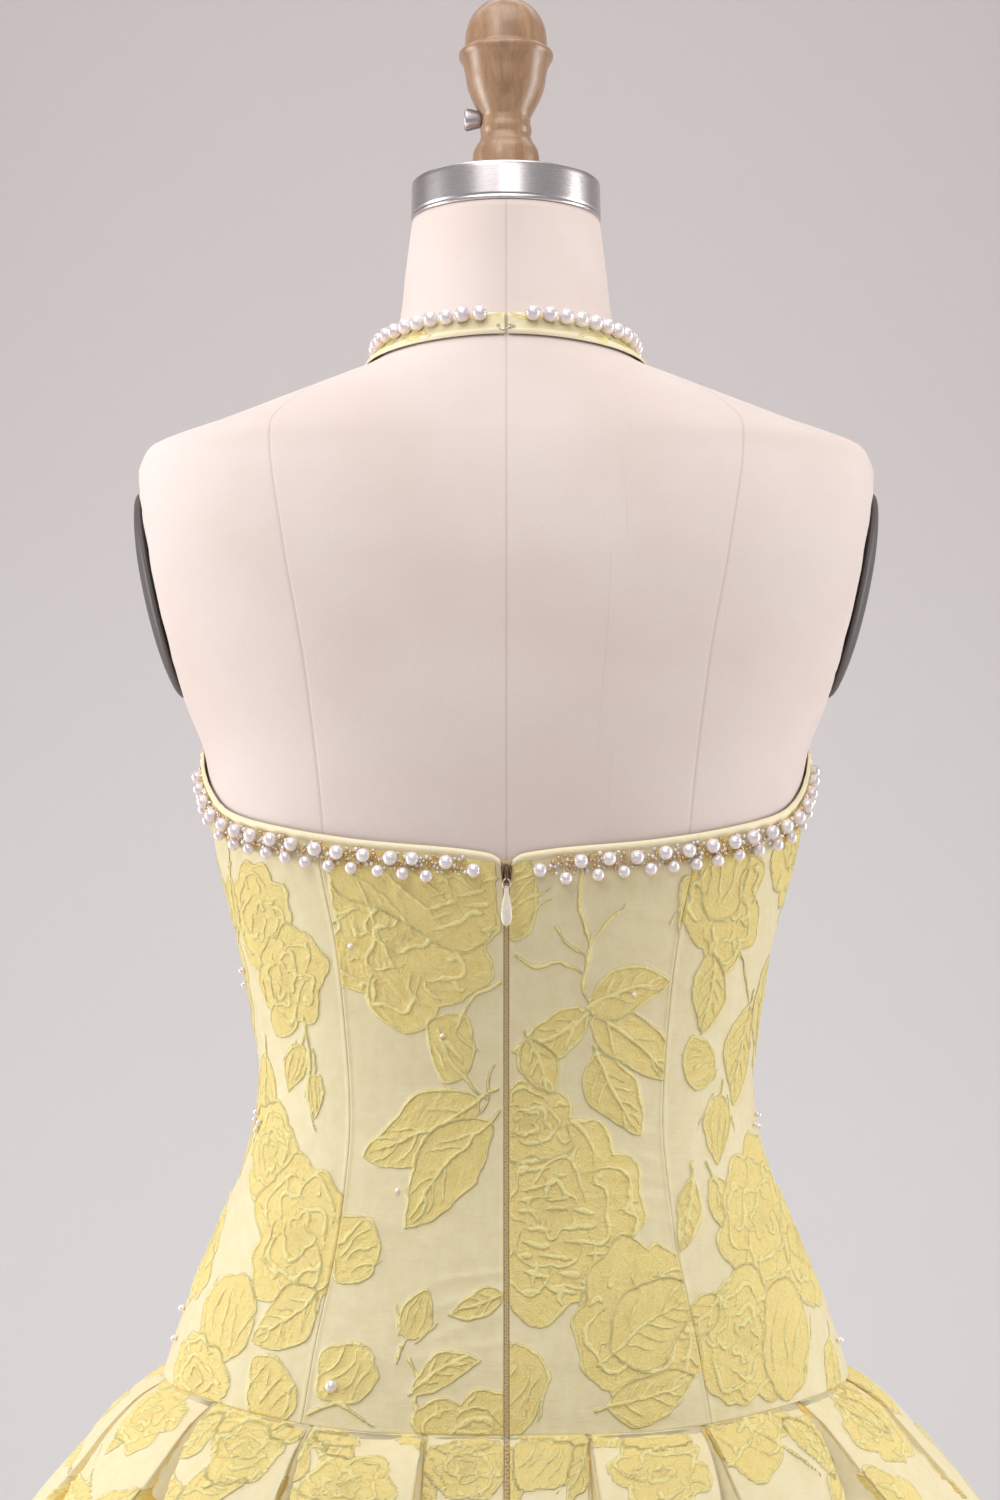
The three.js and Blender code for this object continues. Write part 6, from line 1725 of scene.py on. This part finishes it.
FINIAL = Curve([1511.5, 1518, 1524, 1528, 1530.6, 1532.8, 1534.8, 1536.6, 1538.2, 1539.8, 1541.4, 1543, 1545.5, 1549, 1555, 1563, 1569.8, 1573, 1575.5, 1577.2, 1578.6, 1579.8, 1580.8, 1581.6, 1582.2, 1585, 1590, 1597, 1603, 1607, 1608.45],
               [16.9, 17.4, 17.6, 17.1, 15.9, 14.4, 13.5, 13.1, 13.35, 13.5, 13.2, 12.8, 12.8, 14.3, 17.5, 20.4, 21.5, 22.4, 23.6, 24.6, 24.9, 24.6, 23.6, 22.2, 21.75, 21.6, 21.2, 19.0, 14.6, 8, 0.4])
fz = np.concatenate([np.linspace(1511.5, 1528, 8), np.linspace(1528.6, 1546, 42), np.linspace(1547, 1570, 22), np.linspace(1570.4, 1584, 36), np.linspace(1584.6, 1606, 26), np.linspace(1606.5, 1608.45, 7)])
v, f = lathe(np.stack([FINIAL(fz), fz], 1), 72, True, (0, NECK_Y))
fin = new_object("finial_turned", v, f)
finish_piece(fin, M_WOOD, ["finial"])

sv, sf = lathe([(2.6, 8.6), (2.6, 12.6), (3.2, 12.9), (3.9, 13.3), (4.3, 14.2), (4.7, 16.2), (5.2, 18.2), (5.55, 20.0), (5.6, 20.8), (5.3, 21.5), (4.5, 21.9), (2.2, 21.9), (1.9, 21.3)], 48)
sv = np.asarray(sv)
knurl = np.where((sv[:, 2] > 13.6) & (sv[:, 2] < 21.2), 1 + 0.035 * np.cos(24 * np.arctan2(sv[:, 1], sv[:, 0])), 1.0)
sv = np.stack([-sv[:, 2], sv[:, 1] * knurl + NECK_Y, sv[:, 0] * knurl + 1545.4], -1)
screw = new_object("clamp_screw", sv, sf)
M_SCREW = simple("screw_steel", 0.34, lin((206, 200, 206)), 0.85, 0.8)
finish_piece(screw, M_SCREW, ["finial_screw"])

lean = math.atan2(187.6 - 163.6, 1353 - 1239)
M_PLATE = simple("arm_plate", 0.5, lin((96, 90, 89)), 0.2, 0.05)
for side, hand in ((-1, "left"), (1, "right")):
    pv, pf = lathe([(1.0, 0.0), (1.0, 0.5), (0.992, 1.0), (0.97, 1.6), (0.93, 2.2), (0.86, 2.85), (0.77, 3.5), (0.66, 4.1), (0.52, 4.6), (0.38, 5.0), (0.2, 5.25), (0.06, 5.4)], 72)
    pv = np.asarray(pv) * np.array([43, 54, 1])
    X, Yv, Zv = np.array([0, side, 0]), np.array([side * math.sin(lean), 0, math.cos(lean)]), np.array([side * math.cos(lean), 0, -math.sin(lean)])
    pv = pv * np.array([1, 1, 1.6])
    px = 163.6 + (1294 - 1239) * math.tan(lean) + 2.2
    pw = pv[:, :1] * X + pv[:, 1:2] * Yv + pv[:, 2:3] * Zv + np.array([side * px, -4, 1294])
    plate = new_object("arm_plate_turned_" + hand, pw, pf)
    finish_piece(plate, M_PLATE, ["arm_plate_" + hand])

M_POLE = simple("pole_steel", 0.3, lin((196, 192, 190)), 1.0, 0.05)
v, f = lathe([(33.2, 12.3), (34, 13.0), (33.8, 15.4), (32.6, 18.2), (28, 22.5), (24, 29), (20.5, 37.4), (17.2, 44), (16, 47), (16, 300), (16, 600), (16, 737), (17, 738.5), (23.4, 741.6), (24, 743), (24, 758.5),
              (24.6, 760), (45, 764.6), (46, 765.8), (46, 770.6), (45, 771.6)], 72)
pole = new_object("stand_pole_turned", v, f)
finish_piece(pole, M_POLE, ["stand_pole"])
M_FOOT = simple("foot_iron", 0.48, lin((150, 144, 140)), 0.7, 0.3, (0.9, 0.3, 0.0003))
v, f = lathe([(218.6, 0.0), (219.6, 0.6), (220, 2), (220, 8.4), (219.6, 9.8), (218.4, 11.2), (216.2, 12), (150, 12), (60, 12), (10, 12)], 128)
foot = new_object("stand_foot_turned", v, f)
finish_piece(foot, M_FOOT, ["stand_foot"])

# ------------------------------------------------------------------ floor, backdrop, light and camera
def backdrop_material():
    """Plain paper, a little darker toward its top: painted shade, as the light falls off higher up."""
    m = Nodes("backdrop")
    c = m.add("ShaderNodeTexCoord")
    x = m.add("ShaderNodeSeparateXYZ")
    m.link(c.outputs["Object"], x.inputs[0])
    # painted shade: lighter low down, darker with height
    up = m.smooth(x.outputs[2], 0.3, 2.5)
    m.link(m.mix(up, lin((219, 216, 217)), lin((195, 188, 189))), m.bsdf.inputs["Base Color"])
    m.bsdf.inputs["Roughness"].default_value = 0.9
    m.bsdf.inputs["Specular IOR Level"].default_value = 0.1
    return m.mat


M_DROP = backdrop_material()
xs = np.linspace(-5200, 5200, 9)
prof = [(-4200, 0), (0, 0), (1500, 0)] + [(1500 + 900 * math.sin(a), 900 - 900 * math.cos(a)) for a in np.linspace(0.1, math.pi / 2, 14)] + [(2400, 2200), (2400, 4200)]
dv = np.array([[(x, y, z) for x in xs] for y, z in prof], float)
ii = np.arange(dv.shape[0] * dv.shape[1]).reshape(dv.shape[:2])
df = np.stack([ii[:-1, :-1], ii[:-1, 1:], ii[1:, 1:], ii[1:, :-1]], -1).reshape(-1, 4)
dv[..., 2] -= 0.3
drop = new_object("backdrop_sweep", dv.reshape(-1, 3), df)
drop.data.materials.append(M_DROP)

scene = bpy.context.scene
scene.view_settings.view_transform = "Standard"
scene.view_settings.look = "None"
scene.view_settings.exposure = 0.0
scene.view_settings.gamma = 1.0
world = bpy.data.worlds.new("soft_grey")
world.use_nodes = True
world.node_tree.nodes["Background"].inputs[0].default_value = (1.0, 0.985, 0.985, 1)
world.node_tree.nodes["Background"].inputs[1].default_value = 0.335
scene.world = world


def area_light(name, where, target, size, power, color=(1, 1, 1)):
    d = bpy.data.lights.new(name, "AREA")
    d.shape = "RECTANGLE"
    d.size, d.size_y = size
    d.energy = power
    d.color = color
    ob = bpy.data.objects.new(name, d)
    bpy.context.scene.collection.objects.link(ob)
    ob.location = [c * 0.001 for c in where]
    dx = [t - w for t, w in zip(target, where)]
    from mathutils import Vector
    ob.rotation_euler = Vector(dx).to_track_quat("-Z", "Y").to_euler()
    return ob


area_light("overhead", (-200, -800, 3200), (0, 0, 1150), (2.2, 1.8), 29, (1, 0.98, 0.96))
area_light("key", (-800, -1750, 2600), (0, 0, 1100), (0.8, 0.8), 9, (1, 0.98, 0.96))
area_light("side_left", (-2100, 60, 980), (0, 0, 960), (0.5, 1.8), 30, (1, 0.985, 0.97))
area_light("side_right", (2100, 60, 1050), (0, 0, 1000), (0.5, 2.0), 26, (1, 0.98, 0.96))
area_light("front_high", (260, -2800, 2230), (0, 0, 1200), (1.1, 0.8), 8, (1, 0.985, 0.97))
area_light("backdrop_wash", (0, 900, 3000), (0, 2400, 700), (3.0, 0.6), 15, (1, 0.985, 0.985))

cam_data = bpy.data.cameras.new("camera")
cam_data.sensor_width = 36.0
cam_data.sensor_fit = "AUTO"
cam_data.lens = 57.7
cam_data.shift_x = 0.0
cam_data.shift_y = 0.06
cam_data.clip_start, cam_data.clip_end = 0.05, 40
cam = bpy.data.objects.new("camera", cam_data)
scene.collection.objects.link(cam)
cam.location = (-0.00312, -1.25, 1.1674)
cam.rotation_euler = (math.pi / 2, 0, 0)
scene.camera = cam
